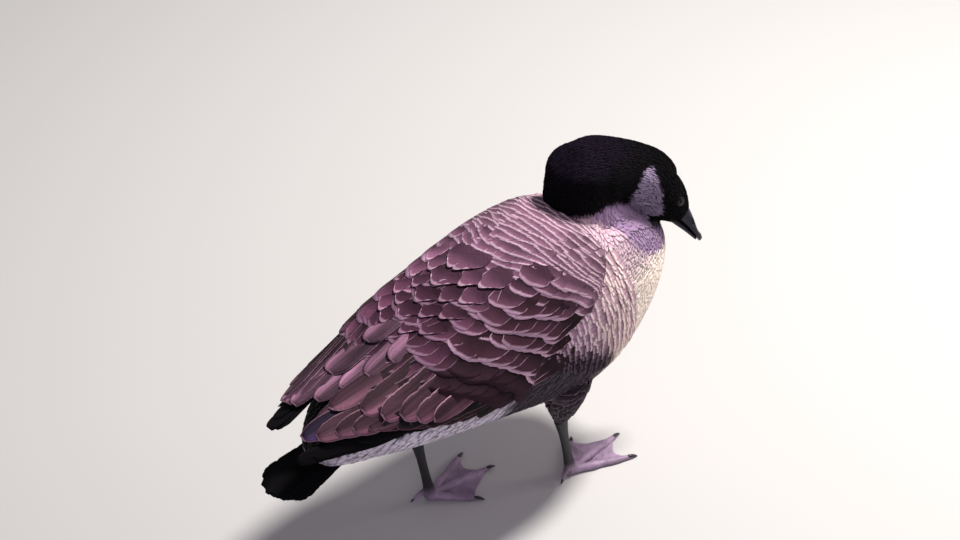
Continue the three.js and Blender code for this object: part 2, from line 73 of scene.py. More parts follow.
FLIGHT = [
    (-100, 25, -280, 17, 30), (-96, 34, -304, 24, 31), (-92, 43, -292, 33, 31), (-90, 51, -274, 39, 30),
    (-88, 58, -258, 45, 29), (-86, 64, -244, 50, 26), (-84, 70, -231, 56, 25), (-82, 75, -218, 62, 24),
    (-80, 80, -204, 68, 23), (-78, 84, -189, 74, 22), (-76, 88, -172, 80, 21), (-74, 91, -153, 85, 20),
    (-72, 94, -130, 90, 19),
]
PRIMARIES = [
    (-195, 68, -262, 56, 19), (-200, 73, -284, 58, 19), (-205, 78, -303, 60, 18),
    (-210, 83, -319, 60, 17),
]
PRIMARY_EDGE = [
    (-52, 92, 110), (-93, 88, 108), (-128, 80, 102), (-163, 72, 96), (-207, 62, 92), (-242, 56, 88),
]
NECK_LOWER = [
    (150, 0, 262, 62, 66), (134, 0, 306, 50, 54), (118, -3, 346, 41, 43), (116, -4, 376, 39, 40),
    (117, -4, 400, 35, 33), (116, -4, 419, 4, 4),
]
NECK_UPPER = [
    (108, -3, 377, 30, 30), (132, -6, 378, 40, 40), (170, -13, 368, 33, 34), (203, -22, 347, 30, 34),
    (214, -28, 331, 27, 32),
]
HEAD_AT = (223, -31, 317)
HEAD_TURN = (-38 * DEGREE, 47 * DEGREE, -15 * DEGREE)
HEAD = [
    (-46, 0, 0, 0), (-39, 18, -17, 17), (-22, 28, -26, 24), (0, 28.5, -28, 25), (18, 23, -24, 21),
    (30, 16, -19, 15.5), (38, 10.5, -15, 11.5),
]
EYE = (13, 18.2, 8)
EYE_RADIUS = 5.4
BILL_UPPER = [
    (28, 12, -9, 11.5), (40, 9, -8.5, 11), (54, 3.5, -8.5, 10), (66, -2, -9.2, 9), (75, -4.2, -10.4, 7.6),
    (80, -6.5, -11.6, 4.2),
]
BILL_LOWER = [
    (28, -9.4, -17, 10), (40, -8.9, -15.8, 9.4), (54, -8.9, -14.4, 8.4), (66, -9.6, -13.8, 7.2),
    (74, -10.8, -13.6, 5.4),
]
LEGS = {
    "right": dict(side=-1, thigh=(46, -58, 160), hock=(50, -48, 94), foot=(66, -50, 12), turn=4 * DEGREE),
    "left": dict(side=1, thigh=(-40, 56, 170), hock=(-92, 44, 96), foot=(-82, 33, 12), turn=-8 * DEGREE),
}
TAIL_ROOT = (-236, 0, 212)
TAIL_TIP = (-337, -2, 196)

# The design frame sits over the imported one, and the rump's end is known in both
torso_low, torso_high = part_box("torso")
SHIFT = np.array([torso_low.x * 1000 - TORSO[-1][0], (torso_low.y + torso_high.y) * 500, 0.0])


def to_frame(points):
    return (np.asarray(points, float) + SHIFT) * 0.001


# Curves and surfaces


def unit(v):
    return v / np.maximum(np.linalg.norm(v, axis=-1, keepdims=True), 1e-9)


def smooth(value, low, high):
    t = np.clip((np.asarray(value, float) - low) / (high - low), 0, 1)
    return t * t * (3 - 2 * t)


def spline(rows, t):
    """Rows of numbers at fractional counts, on a smooth curve through all of them."""
    rows = np.asarray(rows, float)
    t = np.asarray(t, float)
    padded = np.vstack([2 * rows[0] - rows[1], rows, 2 * rows[-1] - rows[-2]])
    i = np.clip(np.floor(t).astype(int), 0, len(rows) - 2)
    f = (t - i)[..., None]
    a, b, d, e = (padded[i + k] for k in range(4))
    return b + 0.5 * f * (d - a + f * (2 * a - 5 * b + 4 * d - e + f * (3 * (b - d) + e - a)))


def section(row, angle, offset=0.0, waist=WAIST, fullness=FULLNESS):
    """Points on sections (x, top, bottom, half width). Angle 0 is the top, 90 degrees the side at -Y."""
    x, top, bottom, half = np.moveaxis(np.asarray(row, float), -1, 0)
    sine, cosine = np.sin(angle), np.cos(angle)
    middle = bottom + (top - bottom) * waist
    reach = np.where(cosine > 0, top - middle, middle - bottom)
    rounded = lambda v: np.sign(v) * np.abs(v) ** (2 / fullness)
    width = np.maximum(half + offset, 0) * (half > 0.01)
    height = np.maximum(reach + offset, 0) * (half > 0.01)
    return np.stack([x + 0 * sine, -rounded(sine) * width, middle + rounded(cosine) * height], -1)


BED_TABLE = spline(WING_BED, np.linspace(0, len(WING_BED) - 1, 600))[::-1]
TORSO_TABLE = spline(TORSO, np.linspace(0, len(TORSO) - 1, 900))[::-1]


def row_of(table, x):
    return np.stack([np.interp(x, table[:, 0], table[:, k]) for k in range(table.shape[1])], -1)


def on_bed(x, angle, side, height):
    """Points over the surface that the folded wing lies on; angle in degrees from the top."""
    return section(row_of(BED_TABLE, x), -side * np.asarray(angle) * DEGREE, height)


def level(table, x, column=1):
    """One column of a table over x, straight between its rows."""
    rows = np.array(sorted(table), float)
    return np.interp(x, rows[:, 0], rows[:, column])


def across_wing(x, angle):
    """Share of the way over the folded wing from its inner to its lower edge, and its thickness there."""
    inner, lower = level(WING_EDGE, x), level(WING_EDGE, x, 2)
    rear, front = smooth(-np.asarray(x, float), 120, 235), smooth(x, 72, 112)
    return (angle - inner) / (lower - inner), WING_THICKNESS * (1 - 0.5 * rear) * (1 - 0.7 * front)


def wing_top(x, angle):
    share, thickness = across_wing(x, angle)
    return WING_UNDER + thickness * (0.25 + 0.75 * np.sin(math.pi * np.clip(share, 0, 1)) ** 0.6)


def rotation(yaw, pitch=0.0, roll=0.0):
    first, second, third = (Matrix.Rotation(a, 3, axis) for a, axis in zip((yaw, pitch, roll), "ZYX"))
    return np.array(first @ second @ third)


HEAD_MATRIX = rotation(*HEAD_TURN)


def from_head(points):
    return np.asarray(points, float) @ HEAD_MATRIX.T + HEAD_AT


def to_head(points):
    return (np.asarray(points, float) - HEAD_AT) @ HEAD_MATRIX


# Meshes

RELAXING = 0.6
TANGENT = 0.05


def linked(name, data):
    """A new object in the scene, for a mesh, a camera or a light."""
    made = bpy.data.objects.new(name, data)
    bpy.context.scene.collection.objects.link(made)
    return made


def new_object(name, points, faces):
    mesh = bpy.data.meshes.new(name)
    mesh.from_pydata(to_frame(points), [], faces)
    mesh.validate()
    mesh.shade_smooth()
    return linked(name, mesh)


def loft(rings):
    """Points and faces of a closed skin through rings of equal count, capped at its ends."""
    rings = np.asarray(rings, float)
    count, sides = rings.shape[:2]
    points = rings.reshape(-1, 3)
    faces = []
    for i in range(count - 1):
        for j in range(sides):
            k = (j + 1) % sides
            faces.append((i * sides + j, i * sides + k, (i + 1) * sides + k, (i + 1) * sides + j))
    faces.append(tuple(range(sides))[::-1])
    faces.append(tuple((count - 1) * sides + j for j in range(sides)))
    return points, faces


def gather(pieces):
    """One set of points and faces from several."""
    points, faces, start = [], [], 0
    for p, f in pieces:
        points.append(p)
        faces += [tuple(start + i for i in face) for face in f]
        start += len(p)
    return np.concatenate(points), faces


def tube_rings(rows, count, sides, offset=0.0):
    """Rings of a tube through rows (x, y, z, half width, half depth), its width kept level."""
    t = np.linspace(0, len(rows) - 1, count)
    here = spline(rows, t)
    behind, ahead = (spline(rows, np.clip(t + move, 0, len(rows) - 1)) for move in (-TANGENT, TANGENT))
    along = unit((ahead - behind)[:, :3])
    across = np.stack([-along[:, 1], along[:, 0], 0 * t], -1)
    across[np.linalg.norm(across, axis=1) < 0.2] = (0, 1, 0)
    across = unit(across)
    across[across[:, 1] < 0] *= -1
    up = unit(np.cross(along, across))
    angle = np.linspace(0, 2 * math.pi, sides, endpoint=False)
    wide = (here[:, 3:4] + offset)[..., None] * np.cos(angle)[None, :, None] * across[:, None]
    deep = (here[:, 4:5] + offset)[..., None] * np.sin(angle)[None, :, None] * up[:, None]
    return here[:, None, :3] + wide + deep


def read(collection, key, width, kind=np.float32):
    """One property of all elements of a mesh, as rows of the given width."""
    values = np.empty(len(collection) * width, kind)
    collection.foreach_get(key, values)
    return values.reshape(-1, width)


def coordinates(mesh):
    """A mesh's points in the design frame."""
    return read(mesh.vertices, "co", 3).astype(float) * 1000 - SHIFT


def normals(mesh):
    return read(mesh.vertices, "normal", 3).astype(float)


def move_to(mesh, points):
    """Moves a mesh's points to places in the design frame."""
    mesh.vertices.foreach_set("co", to_frame(points).astype(np.float32).ravel())
    mesh.update()
    mesh.shade_smooth()


def over_edges(values, edges):
    """For each point, the sum of its neighbours' values."""
    a, b = edges.T
    return np.stack([np.bincount(a, v[b], len(v)) + np.bincount(b, v[a], len(v)) for v in values.T], -1)


def relax(points, edges, rounds):
    """Smooths points over the edges between them, and swells them back so that they don't shrink."""
    count = np.bincount(edges.ravel(), minlength=len(points))[:, None]
    for k in range(2 * rounds):
        move = over_edges(points, edges) / count - points
        points = points + move * (RELAXING if k % 2 == 0 else -0.95 * RELAXING)
    return points


def melted(name, pieces, voxel, rounds):
    """One smooth surface over closed pieces that cross: the object, its points and its edges."""
    made = new_object(name, *gather(pieces))
    remesh = made.modifiers.new("remesh", "REMESH")
    remesh.mode = "VOXEL"
    remesh.voxel_size = voxel
    bpy.context.view_layer.update()
    mesh = bpy.data.meshes.new_from_object(made.evaluated_get(bpy.context.evaluated_depsgraph_get()))
    made.modifiers.clear()
    rough, made.data = made.data, mesh
    bpy.data.meshes.remove(rough)
    edges = read(mesh.edges, "vertices", 2, np.int32)
    points = relax(coordinates(mesh), edges, rounds)
    move_to(mesh, points)
    return made, points, edges


# Skin: one surface over torso, wings, neck, head and thighs, a coat's depth inside the solids

COAT_DEPTH = 3.2
TUBE_DEPTH = 1.2
HEAD_DEPTH = 0.8
THIGH_DEPTH = 2.2
WING_DEPTH = 1.6
SKIN_VOXEL = 0.0026
SKIN_ROUNDS = 14
FLOW_ROUNDS = 40
NECK_FOOT = (135, 0, 335)
NECK_FOOT_REACH = 75


def torso_rings(count, sides, offset):
    t = np.linspace(0, len(TORSO) - 1, count)
    t[0], t[-1] = 0.04, len(TORSO) - 1.05
    angle = np.linspace(0, 2 * math.pi, sides, endpoint=False)
    return section(spline(TORSO, t)[:, None], angle[None], offset)


def wing_core(side):
    t = np.linspace(0, len(WING_EDGE) - 3, 50)
    x, inner, lower = spline(WING_EDGE, t).T
    share = np.linspace(0, 1, 14)
    angle = inner[:, None] + (lower - inner)[:, None] * share
    x = np.repeat(x[:, None], len(share), 1)
    top = on_bed(x, angle, side, wing_top(x, angle) - WING_DEPTH)
    base = on_bed(x, angle, side, -8.0)[:, ::-1]
    return loft(np.concatenate([top, base], 1))


def back_core():
    """Fills the furrow between the two wings, where the long scapulars lie."""
    x = np.linspace(96, -190, 50)[:, None] + np.zeros((1, 11))
    angle = np.linspace(-19, 19, 11)[None] + 0 * x
    taper = smooth(x, 100, 60) * smooth(x, -195, -150)
    top = on_bed(x, angle, -1, -3 + taper * (wing_top(x, 17.0) + 2.2))
    base = on_bed(x, angle, -1, -9.0)[:, ::-1]
    return loft(np.concatenate([top, base], 1))


def head_rings(count, sides, offset):
    t = np.linspace(0.12, len(HEAD) - 1, count)
    angle = np.linspace(0, 2 * math.pi, sides, endpoint=False)
    return from_head(section(spline(HEAD, t)[:, None], angle[None], offset, 0.5, 2.1))


def thigh_rows(leg):
    a, b = np.array(leg["thigh"], float), np.array(leg["hock"], float)
    return [(*(a + (b - a) * s), r, r) for s, r in ((-0.3, 24), (0, 30), (0.55, 21.6), (0.9, 11.5), (1, 9))]


def make_skin():
    pieces = [
        loft(torso_rings(70, 72, -COAT_DEPTH)),
        loft(tube_rings(NECK_LOWER, 30, 40, -TUBE_DEPTH)),
        loft(tube_rings(NECK_UPPER, 30, 40, -TUBE_DEPTH)),
        loft(head_rings(30, 40, -HEAD_DEPTH)),
        wing_core(1),
        wing_core(-1),
        back_core(),
    ]
    pieces += [loft(tube_rings(thigh_rows(leg), 20, 32, -THIGH_DEPTH)) for leg in LEGS.values()]
    return melted("skin", pieces, SKIN_VOXEL, SKIN_ROUNDS)


skin, skin_points, skin_edges = make_skin()
skin_bvh = BVHTree.FromObject(skin, bpy.context.evaluated_depsgraph_get())


def nearest(points):
    """The skin's nearest points and normals, in the design frame."""
    shape = points.shape
    flat = to_frame(points.reshape(-1, 3))
    place, normal = np.empty_like(flat), np.empty_like(flat)
    find = skin_bvh.find_nearest
    for i, p in enumerate(flat):
        hit, turned, _, _ = find(p)
        place[i], normal[i] = hit, turned
    return (place * 1000 - SHIFT).reshape(shape), normal.reshape(shape)


# Regions of the skin, and the way that the plumage lies on each

TUBE_STEPS = 60


def along_tube(rows, points):
    """For each point: how far it is from a tube's axis as a share of the tube, and the axis direction."""
    here = spline(rows, np.linspace(0, len(rows) - 1, TUBE_STEPS))
    direction = unit(np.gradient(here[:, :3], axis=0))
    distance = np.linalg.norm(points[:, None] - here[None, :, :3], axis=2) / here[None, :, 3:5].mean(2)
    best = distance.argmin(1)
    return distance[np.arange(len(points)), best], direction[best]


skin_normal = normals(skin.data)
near_upper, way_upper = along_tube(NECK_UPPER, skin_points)
near_lower, way_lower = along_tube(NECK_LOWER, skin_points)
near_thigh = np.minimum(*[along_tube(thigh_rows(leg)[1:], skin_points)[0] for leg in LEGS.values()])
head_place = to_head(skin_points)
head_row = row_of(spline(HEAD, np.linspace(0, len(HEAD) - 1, 200)), head_place[:, 0])
head_depth = np.hypot(
    head_place[:, 1] / np.maximum(head_row[:, 3], 1),
    (head_place[:, 2] - head_row[:, 1:3].mean(1)) / np.maximum((head_row[:, 1] - head_row[:, 2]) / 2, 1),
)
in_head = (head_depth < 1.06) & (head_place[:, 0] > -38) & (head_place[:, 0] < 42)
in_neck = ~in_head & ((near_upper < 1.1) | ((near_lower < 1.1) & (skin_points[:, 2] > 300)))
in_thigh = (near_thigh < 1.08) & (skin_points[:, 2] < 150)


def flow_field():
    """The direction that feathers point in at each of the skin's points."""
    p = skin_points
    neck_foot = p - NECK_FOOT
    spread = np.exp(-np.linalg.norm(neck_foot, axis=1) / NECK_FOOT_REACH)[:, None]
    flow = spread * unit(neck_foot) + (1 - spread) * np.array([-1, 0, -0.22])
    bend = smooth(p[:, 2], 366, 398) * (p[:, 0] < 150)
    upper = np.maximum(bend, near_upper < near_lower)[:, None]
    neck = -way_upper * upper - way_lower * (1 - upper)
    flow[in_neck] = neck[in_neck]
    flow[in_head] = (np.array([[-1.0, 0, 0]]) @ HEAD_MATRIX.T)[0]
    flow[in_thigh] = (0, 0, -1)
    for _ in range(FLOW_ROUNDS):
        flow -= (flow * skin_normal).sum(1, keepdims=True) * skin_normal
        flow = unit(flow)
        flow = flow + 0.8 * over_edges(flow, skin_edges)
    flow -= (flow * skin_normal).sum(1, keepdims=True) * skin_normal
    return unit(flow)


skin_flow = flow_field()
body_row = row_of(TORSO_TABLE, skin_points[:, 0])
body_middle = body_row[:, 2] + (body_row[:, 1] - body_row[:, 2]) * WAIST
body_reach = np.where(
    skin_points[:, 2] > body_middle, body_row[:, 1] - body_middle, body_middle - body_row[:, 2]
)
skin_angle = np.degrees(
    np.arctan2(
        np.abs(skin_points[:, 1]) / np.maximum(body_row[:, 3], 1),
        (skin_points[:, 2] - body_middle) / np.maximum(body_reach, 1),
    )
)


# Markings, as named regions of the body, with painted shade, a painted shadow and a painted sheen among them


def linear(*srgb):
    c = np.array(srgb, float) / 255
    return np.where(c <= 0.04045, c / 12.92, ((c + 0.055) / 1.055) ** 2.4)


BLACK = linear(9, 7, 10)
PAINTED_CROWN_SHEEN = linear(26, 18, 34)
CREAM = linear(248, 231, 217)
SHADED = linear(184, 154, 172)
PAINTED_HEAD_SHADOW = linear(146, 118, 152)
STREAK = linear(168, 136, 150)
MANTLE = linear(176, 142, 160)
MANTLE_RIM = linear(232, 204, 212)
SHOULDER = linear(134, 96, 118)
SHOULDER_RIM = linear(224, 190, 204)
BACK = linear(122, 83, 106)
BACK_RIM = linear(224, 189, 209)
WING = linear(88, 52, 72)
WING_RIM = linear(184, 142, 168)
DARK = linear(60, 34, 46)
DARK_RIM = linear(206, 166, 190)
LONG = linear(106, 68, 84)
LONG_LOW = linear(48, 29, 38)
FAN_LOW = linear(22, 13, 18)
LONG_FAR_PAINTED_LIGHT = linear(128, 90, 112)
LONG_RIM = linear(172, 132, 150)
CHEEK_WHITE_IN_PAINTED_SHADE = linear(150, 134, 160)
FLANK = linear(140, 106, 130)
FLANK_RIM = linear(238, 214, 220)
REAR_FLANK = linear(90, 60, 80)
REAR_FLANK_RIM = linear(182, 146, 170)
THIGH = linear(28, 18, 25)
THIGH_RIM = linear(96, 76, 96)
WHITE_IN_PAINTED_SHADE = linear(202, 192, 208)
RUMP = linear(12, 8, 12)
VIOLET = linear(50, 32, 66)

CHEEK = [
    (22, -40), (19, -20), (-6, -1), (-33, 14), (-50, 20), (-58, 14), (-53, -2), (-45, -15), (-27, -33),
    (-24, -40),
]
CHEEK_BLUR = 2.0
STOCKING = [(60, 352), (103, 355), (121, 359), (149, 344), (168, 329), (200, 320), (240, 300)]
PAINTED_HEAD_SHADOW_LINE = [(105, 352), (120, 336), (150, 302), (165, 289), (180, 279), (200, 270)]
VENT_EDGE = [(-275, 56), (-242, 65), (-207, 75), (-163, 83), (-128, 89), (-93, 96), (-52, 104)]
BELLY_EDGE = [(-60, 82), (-26, 90), (58, 117), (120, 120)]
FLANK_LEAN = 0.33
STREAK_LENGTH = 12


def inside(x, y, corners):
    """Near 1 inside a closed outline and near 0 outside, with a soft edge."""
    within = np.zeros(len(x), bool)
    gap = np.full(len(x), 1e9)
    for (x0, y0), (x1, y1) in zip(corners, corners[1:] + corners[:1]):
        crosses = (y0 > y) != (y1 > y)
        within ^= crosses & (x < (x1 - x0) * (y - y0) / (y1 - y0 + 1e-9) + x0)
        t = np.clip(((x - x0) * (x1 - x0) + (y - y0) * (y1 - y0)) / ((x1 - x0) ** 2 + (y1 - y0) ** 2), 0, 1)
        gap = np.minimum(gap, np.hypot(x - x0 - t * (x1 - x0), y - y0 - t * (y1 - y0)))
    return smooth(np.where(within, gap, -gap), -CHEEK_BLUR, CHEEK_BLUR)


def mixed(a, b, share):
    return a + (b - a) * np.asarray(share)[..., None]


def markings(index):
    """Base colour and edge colour of the feathers rooted at points of the skin."""
    p, angle = skin_points[index], skin_angle[index]
    x, z = p[:, 0], p[:, 2]
    tone = np.repeat(CREAM[None], len(p), 0)
    rim = np.repeat(CREAM[None] * 1.04, len(p), 0)

    def paint(colour, edge, share):
        nonlocal tone, rim
        tone, rim = mixed(tone, colour, share), mixed(rim, edge, share)

    lean = x - FLANK_LEAN * (angle - 60)
    streak = 0.5 + 0.5 * np.sin(lean * 2 * math.pi / STREAK_LENGTH + 1.6 * np.sin(angle / 7))
    paint(STREAK, STREAK, 0.65 * streak**5 * smooth(x, 160, 116) * smooth(angle, 120, 70))
    paint(SHADED, SHADED, smooth(z, 262, 300) * smooth(x, 95, 135) * 0.8)
    paint(MANTLE, MANTLE_RIM, smooth(angle, 56, 36) * smooth(x, 165, 128))
    # A painted shadow of the head on the upper breast, above a line over x
    paint(PAINTED_HEAD_SHADOW, PAINTED_HEAD_SHADOW, smooth(z - level(PAINTED_HEAD_SHADOW_LINE, x), -5, 5) * (x > 100))
    side = smooth(angle, 45, 56)
    paint(FLANK, FLANK_RIM, side * smooth(x, 112, 56))
    paint(REAR_FLANK, REAR_FLANK_RIM, side * smooth(x, 56, -30))
    # Low on the sides and on the thighs: a dark brown, partly the plumage's own and partly painted shade
    # under the body
    paint(THIGH, THIGH_RIM, smooth(angle - 0.22 * x, 79, 95) * smooth(x, 100, 76))
    paint(SHADED, WHITE_IN_PAINTED_SHADE, smooth(angle, 128, 150) * smooth(x, 150, 60))
    paint(THIGH, THIGH_RIM, in_thigh[index] * 1.0)
    # The white vent, greyed with painted shade
    paint(WHITE_IN_PAINTED_SHADE, WHITE_IN_PAINTED_SHADE, smooth(x, -48, -72) * smooth(angle - level(VENT_EDGE, x), -5, 2))
    paint(RUMP, RUMP, smooth(x, -120, -150) * smooth(angle, 80, 66))
    stocking = smooth(z - level(STOCKING, x), -2.0, 2.0) * (in_neck[index] | (x > 60))
    black = np.maximum(stocking, in_head[index])
    black = np.maximum(black, smooth(head_depth[index], 1.36, 1.2) * (np.abs(head_place[index, 0]) < 40))
    local = head_place[index]
    cheek = inside(local[:, 0], local[:, 2], CHEEK) * smooth(np.abs(local[:, 1]), 3, 6) * (local[:, 0] > -64)
    cheek *= (np.linalg.norm(local, axis=1) < 76) & (near_upper[index] < 1.2)
    paint(BLACK, BLACK, black)
    # A painted violet sheen over the black of the crown and the top of the neck
    paint(PAINTED_CROWN_SHEEN, PAINTED_CROWN_SHEEN, black * smooth(z, 385, 412) * 0.8)
    # The white cheek patch, greyed with painted shade
    paint(CHEEK_WHITE_IN_PAINTED_SHADE, CHEEK_WHITE_IN_PAINTED_SHADE, cheek * black)
    return tone, rim


skin_tree = KDTree(len(skin_points))
for i, p in enumerate(skin_points):
    skin_tree.insert(p, i)
skin_tree.balance()


def nearest_vertex(points):
    return np.array([skin_tree.find(p)[1] for p in points])


# Coat: closed vanes laid on the skin along the flow of the plumage

TRIES = 6
QUILL_WIDTH = 0.09
BODY_MIDDLE = [(-340, 215), (140, 245), (230, 300)]


def contour(v):
    return (0.5 + 0.5 * smooth(v, 0, 0.45)) * np.sqrt(1 - 0.8 * np.clip((v - 0.6) / 0.4, 0, 1) ** 2.2)


def broad(v):
    return (0.55 + 0.45 * smooth(v, 0, 0.4)) * np.sqrt(1 - 0.34 * np.clip((v - 0.7) / 0.3, 0, 1) ** 3)


def tuft(v):
    return (0.6 + 0.4 * smooth(v, 0, 0.4)) * (1 - 0.85 * v**2.4)


def blade(v):
    return (0.6 + 0.4 * smooth(v, 0, 0.3)) * np.sqrt(1 - 0.9 * np.clip((v - 0.84) / 0.16, 0, 1) ** 2)


def body_map(points):
    """A place on an unwrap of the body: its length across, and the way round it upwards."""
    x, y, z = points.T
    middle = level(BODY_MIDDLE, x)
    turn = np.arctan2(y, z - middle) / (2 * math.pi) + 0.5
    high = np.clip((z - 340) / 80, 0, 1)
    return np.stack([0.02 + 0.7 * (x + 360) / 620 + 0.2 * high, 0.02 + 0.96 * turn], -1)


def add_vanes(name, centres, up, width, rise, outline, tone, rim, edge, **shape):
    """One mesh of closed vanes from centre lines (count, stations, 3) and the normals there.

    rise (count, 2) is the height over the centre line at root and tip, and edge the rim's width in mm. The
    shape's visible is the length in mm that the feathers in front leave bare. With thick a vane is a shell of
    two layers, without it a single layer over a flat strip."""
    u = np.array(shape["across"], float) if "across" in shape else np.linspace(-1, 1, shape["columns"])
    columns = len(u)
    count, stations = centres.shape[:2]
    v = shape["steps"]
    along = unit(np.gradient(centres, axis=1))
    across = unit(np.cross(up, along))
    length = np.linalg.norm(np.diff(centres, axis=1), axis=2).sum(1)
    half = width[:, None] / 2 * outline(v)[None]
    side = half[..., None] * u
    if shape.get("ragged"):
        nicks = random.uniform(0, 1, (count, stations, 2)) ** shape.get("nick_power", 1.0)
        cut = np.where(u < 0, nicks[..., :1], nicks[..., 1:]) * smooth(np.abs(u), 0.6, 1)
        side = side * (1 - shape["ragged"] * cut * smooth(v, 0.25, 0.6)[None, :, None])
    bulge = np.broadcast_to(shape.get("bulge", 0.0), count)
    pull = -(bulge * half.max(1))[:, None, None] * u**2 * smooth(v, 0.35, 1)[None, :, None]
    slant = np.broadcast_to(shape.get("slant", 0.0), count)[:, None, None]
    pull = pull + slant * side * smooth(v, 0.1, 0.9)[:, None]
    if shape.get("fray"):
        fray = random.uniform(-1, 1, (count, 1, columns)) * smooth(v, 0.5, 1)[None, :, None]
        pull = pull + fray * shape["fray"]
    if shape.get("place"):
        points, top_up = shape["place"](side, pull)
    else:
        sideways, onward = across[:, :, None] * side[..., None], along[:, :, None] * pull[..., None]
        points = centres[:, :, None] + sideways + onward
        top_up = np.repeat(up[:, :, None], columns, 2)
    lift = rise[:, :1] + (rise[:, 1:] - rise[:, :1]) * v[None]
    height = lift[..., None] + shape["camber"] * (1 - u**2) + shape.get("tilt", 0.0) * u
    height = height + shape.get("quill", 0.0) * np.exp(-((u / QUILL_WIDTH) ** 2)) * (1 - 0.7 * v[:, None])
    twist = shape.get("twist", np.zeros(count))
    height = height + twist[:, None, None] * u * (v[:, None] ** 2)
    points = points + top_up * height[..., None]
    thick = shape.get("thick")
    layers = 2 if thick else 1
    if thick:
        points = np.stack([points, points - top_up * thick], 1)
    grid = np.arange(stations * columns).reshape(stations, columns)
    under = grid + stations * columns
    faces, flags = [], []
    for i in range(stations - 1):
        for j in range(columns - 1):
            faces.append((grid[i, j], grid[i + 1, j], grid[i + 1, j + 1], grid[i, j + 1]))
            flags.append(True)
            if thick:
                faces.append((under[i, j], under[i, j + 1], under[i + 1, j + 1], under[i + 1, j]))
                flags.append(True)
        if not thick:
            faces.append((grid[i, 0], grid[i, -1], grid[i + 1, -1], grid[i + 1, 0]))
            flags.append(False)
    if thick:
        border = [*grid[::-1, 0], *grid[0, 1:], *grid[1:, -1], *grid[-1, -2:0:-1]]
        for a, b in zip(border, border[1:] + border[:1]):
            faces.append((a, b, b + stations * columns, a + stations * columns))
            flags.append(False)
    else:
        faces += [tuple(grid[0]), tuple(grid[-1][::-1])]
        flags += [False, False]
    loops = np.concatenate([np.array(f) for f in faces])
    sizes = np.array([len(f) for f in faces])
    total = stations * columns * layers
    mesh = bpy.data.meshes.new(name)
    mesh.vertices.add(count * total)
    mesh.vertices.foreach_set("co", to_frame(points.reshape(-1, 3)).astype(np.float32).ravel())
    all_loops = (loops[None] + total * np.arange(count)[:, None]).ravel()
    mesh.loops.add(len(all_loops))
    mesh.loops.foreach_set("vertex_index", all_loops.astype(np.int32))
    mesh.polygons.add(count * len(faces))
    starts = np.concatenate([[0], np.cumsum(sizes)[:-1]])
    all_starts = (starts[None] + len(loops) * np.arange(count)[:, None]).ravel()
    mesh.polygons.foreach_set("loop_start", all_starts.astype(np.int32))
    mesh.polygons.foreach_set("use_smooth", np.tile(flags, count))
    mesh.update(calc_edges=True)
    mesh.validate()

    def attribute(label, kind, values):
        mesh.attributes.new(label, kind, "POINT").data.foreach_set(
            "color" if kind == "FLOAT_COLOR" else "vector", values.astype(np.float32).ravel()
        )

    seed = random.uniform(0, 1, count)
    full = (count, layers, stations, columns)
    spread = lambda a: np.broadcast_to(np.broadcast_to(a, (count, stations, columns))[:, None], full)
    away = half[..., None] * (1 - np.abs(u))
    left = (length[:, None] * (1 - v))[..., None]
    vector = lambda *values: np.stack([spread(value) for value in values], -1)
    attribute("vane", "FLOAT_VECTOR", vector(u, v[:, None], seed[:, None, None]))
    attribute("edge", "FLOAT_VECTOR", vector(away, left, length[:, None, None]))
    for label, colour, fourth in (("tone", tone, shape.get("visible", length)), ("rim", rim, edge)):
        colour = np.column_stack([colour, np.broadcast_to(fourth, count)])[:, None, None, None]
        attribute(label, "FLOAT_COLOR", np.broadcast_to(colour, (*full, 4)))
    root = body_map(centres[:, 0])[:, None, None, None]
    flat = root + shape.get("patch", 0.003) * vector(u / 2, v[:, None] - 0.5)
    layer = mesh.uv_layers.new(name="OFBake")
    layer.data.foreach_set("uv", flat.reshape(-1, 2)[all_loops].astype(np.float32).ravel())
    return linked(name, mesh)


def scatter(weight, spacing, seed):
    """Roots spread over the skin: points, and a vertex of the skin next to each.

    weight picks the vertices, and spacing is the least distance in mm at each vertex."""
    dice = np.random.default_rng(seed)
    mesh = skin.data
    area = read(mesh.polygons, "area", 1)[:, 0]
    first = read(mesh.polygons, "loop_start", 1, np.int32)[:, 0]
    corner = read(mesh.loops, "vertex_index", 1, np.int32)[:, 0]
    quad = np.stack([corner[first + k] for k in (0, 1, 2)], 1)
    chosen = weight[quad[:, 0]]
    density = area * 1e6 * chosen / spacing[quad[:, 0]] ** 2
    tries = dice.choice(len(area), int(density.sum() * TRIES), p=density / density.sum())
    a, b = dice.random((2, len(tries)))
    p0, p1, p2 = (skin_points[quad[tries, k]] for k in range(3))
    points = p0 + (p1 - p0) * a[:, None] + (p2 - p0) * b[:, None] * 0.5
    index = quad[tries, 0]
    tree = KDTree(len(points))
    for i, p in enumerate(points):
        tree.insert(p, i)
    tree.balance()
    blocked = np.zeros(len(points), bool)
    kept = []
    for i, p in enumerate(points):
        if blocked[i]:
            continue
        kept.append(i)
        for _, j, _ in tree.find_range(p, spacing[index[i]]):
            blocked[j] = True
    return points[kept], index[kept]


def coat(name, weight, spacing, length, width, rise, outline, seed, stations, **shape):
    """Feathers scattered over part of the skin, each laid along the flow at its root."""
    roots, index = scatter(weight, spacing, seed)
    dice = np.random.default_rng(seed + 1)
    vary = lambda amount: 1 + amount * dice.uniform(-1, 1, len(roots))
    reach = length[index] * vary(0.15)
    turn = dice.normal(0, shape.pop("stray"), len(roots))
    flow = skin_flow[index]
    side = np.cross(skin_normal[index], flow)
    flow = unit(flow + side * turn[:, None])
    steps = shape.setdefault("steps", np.linspace(0, 1, stations))
    centres = roots[:, None] + flow[:, None] * (reach[:, None] * steps[None])[..., None]
    centres, up = nearest(centres)
    tone, rim = markings(index)
    tone = tone * vary(0.06)[:, None]
    heights = np.array(rise, float)[None] * vary(0.25)[:, None]
    width = width[index] * vary(0.12)
    edge = shape.pop("edge", 1.0)
    shape["visible"] = spacing[index] * 1.3
    return add_vanes(name, centres, up, width, heights, outline, tone, rim, edge, **shape)


# Camera, light and floor

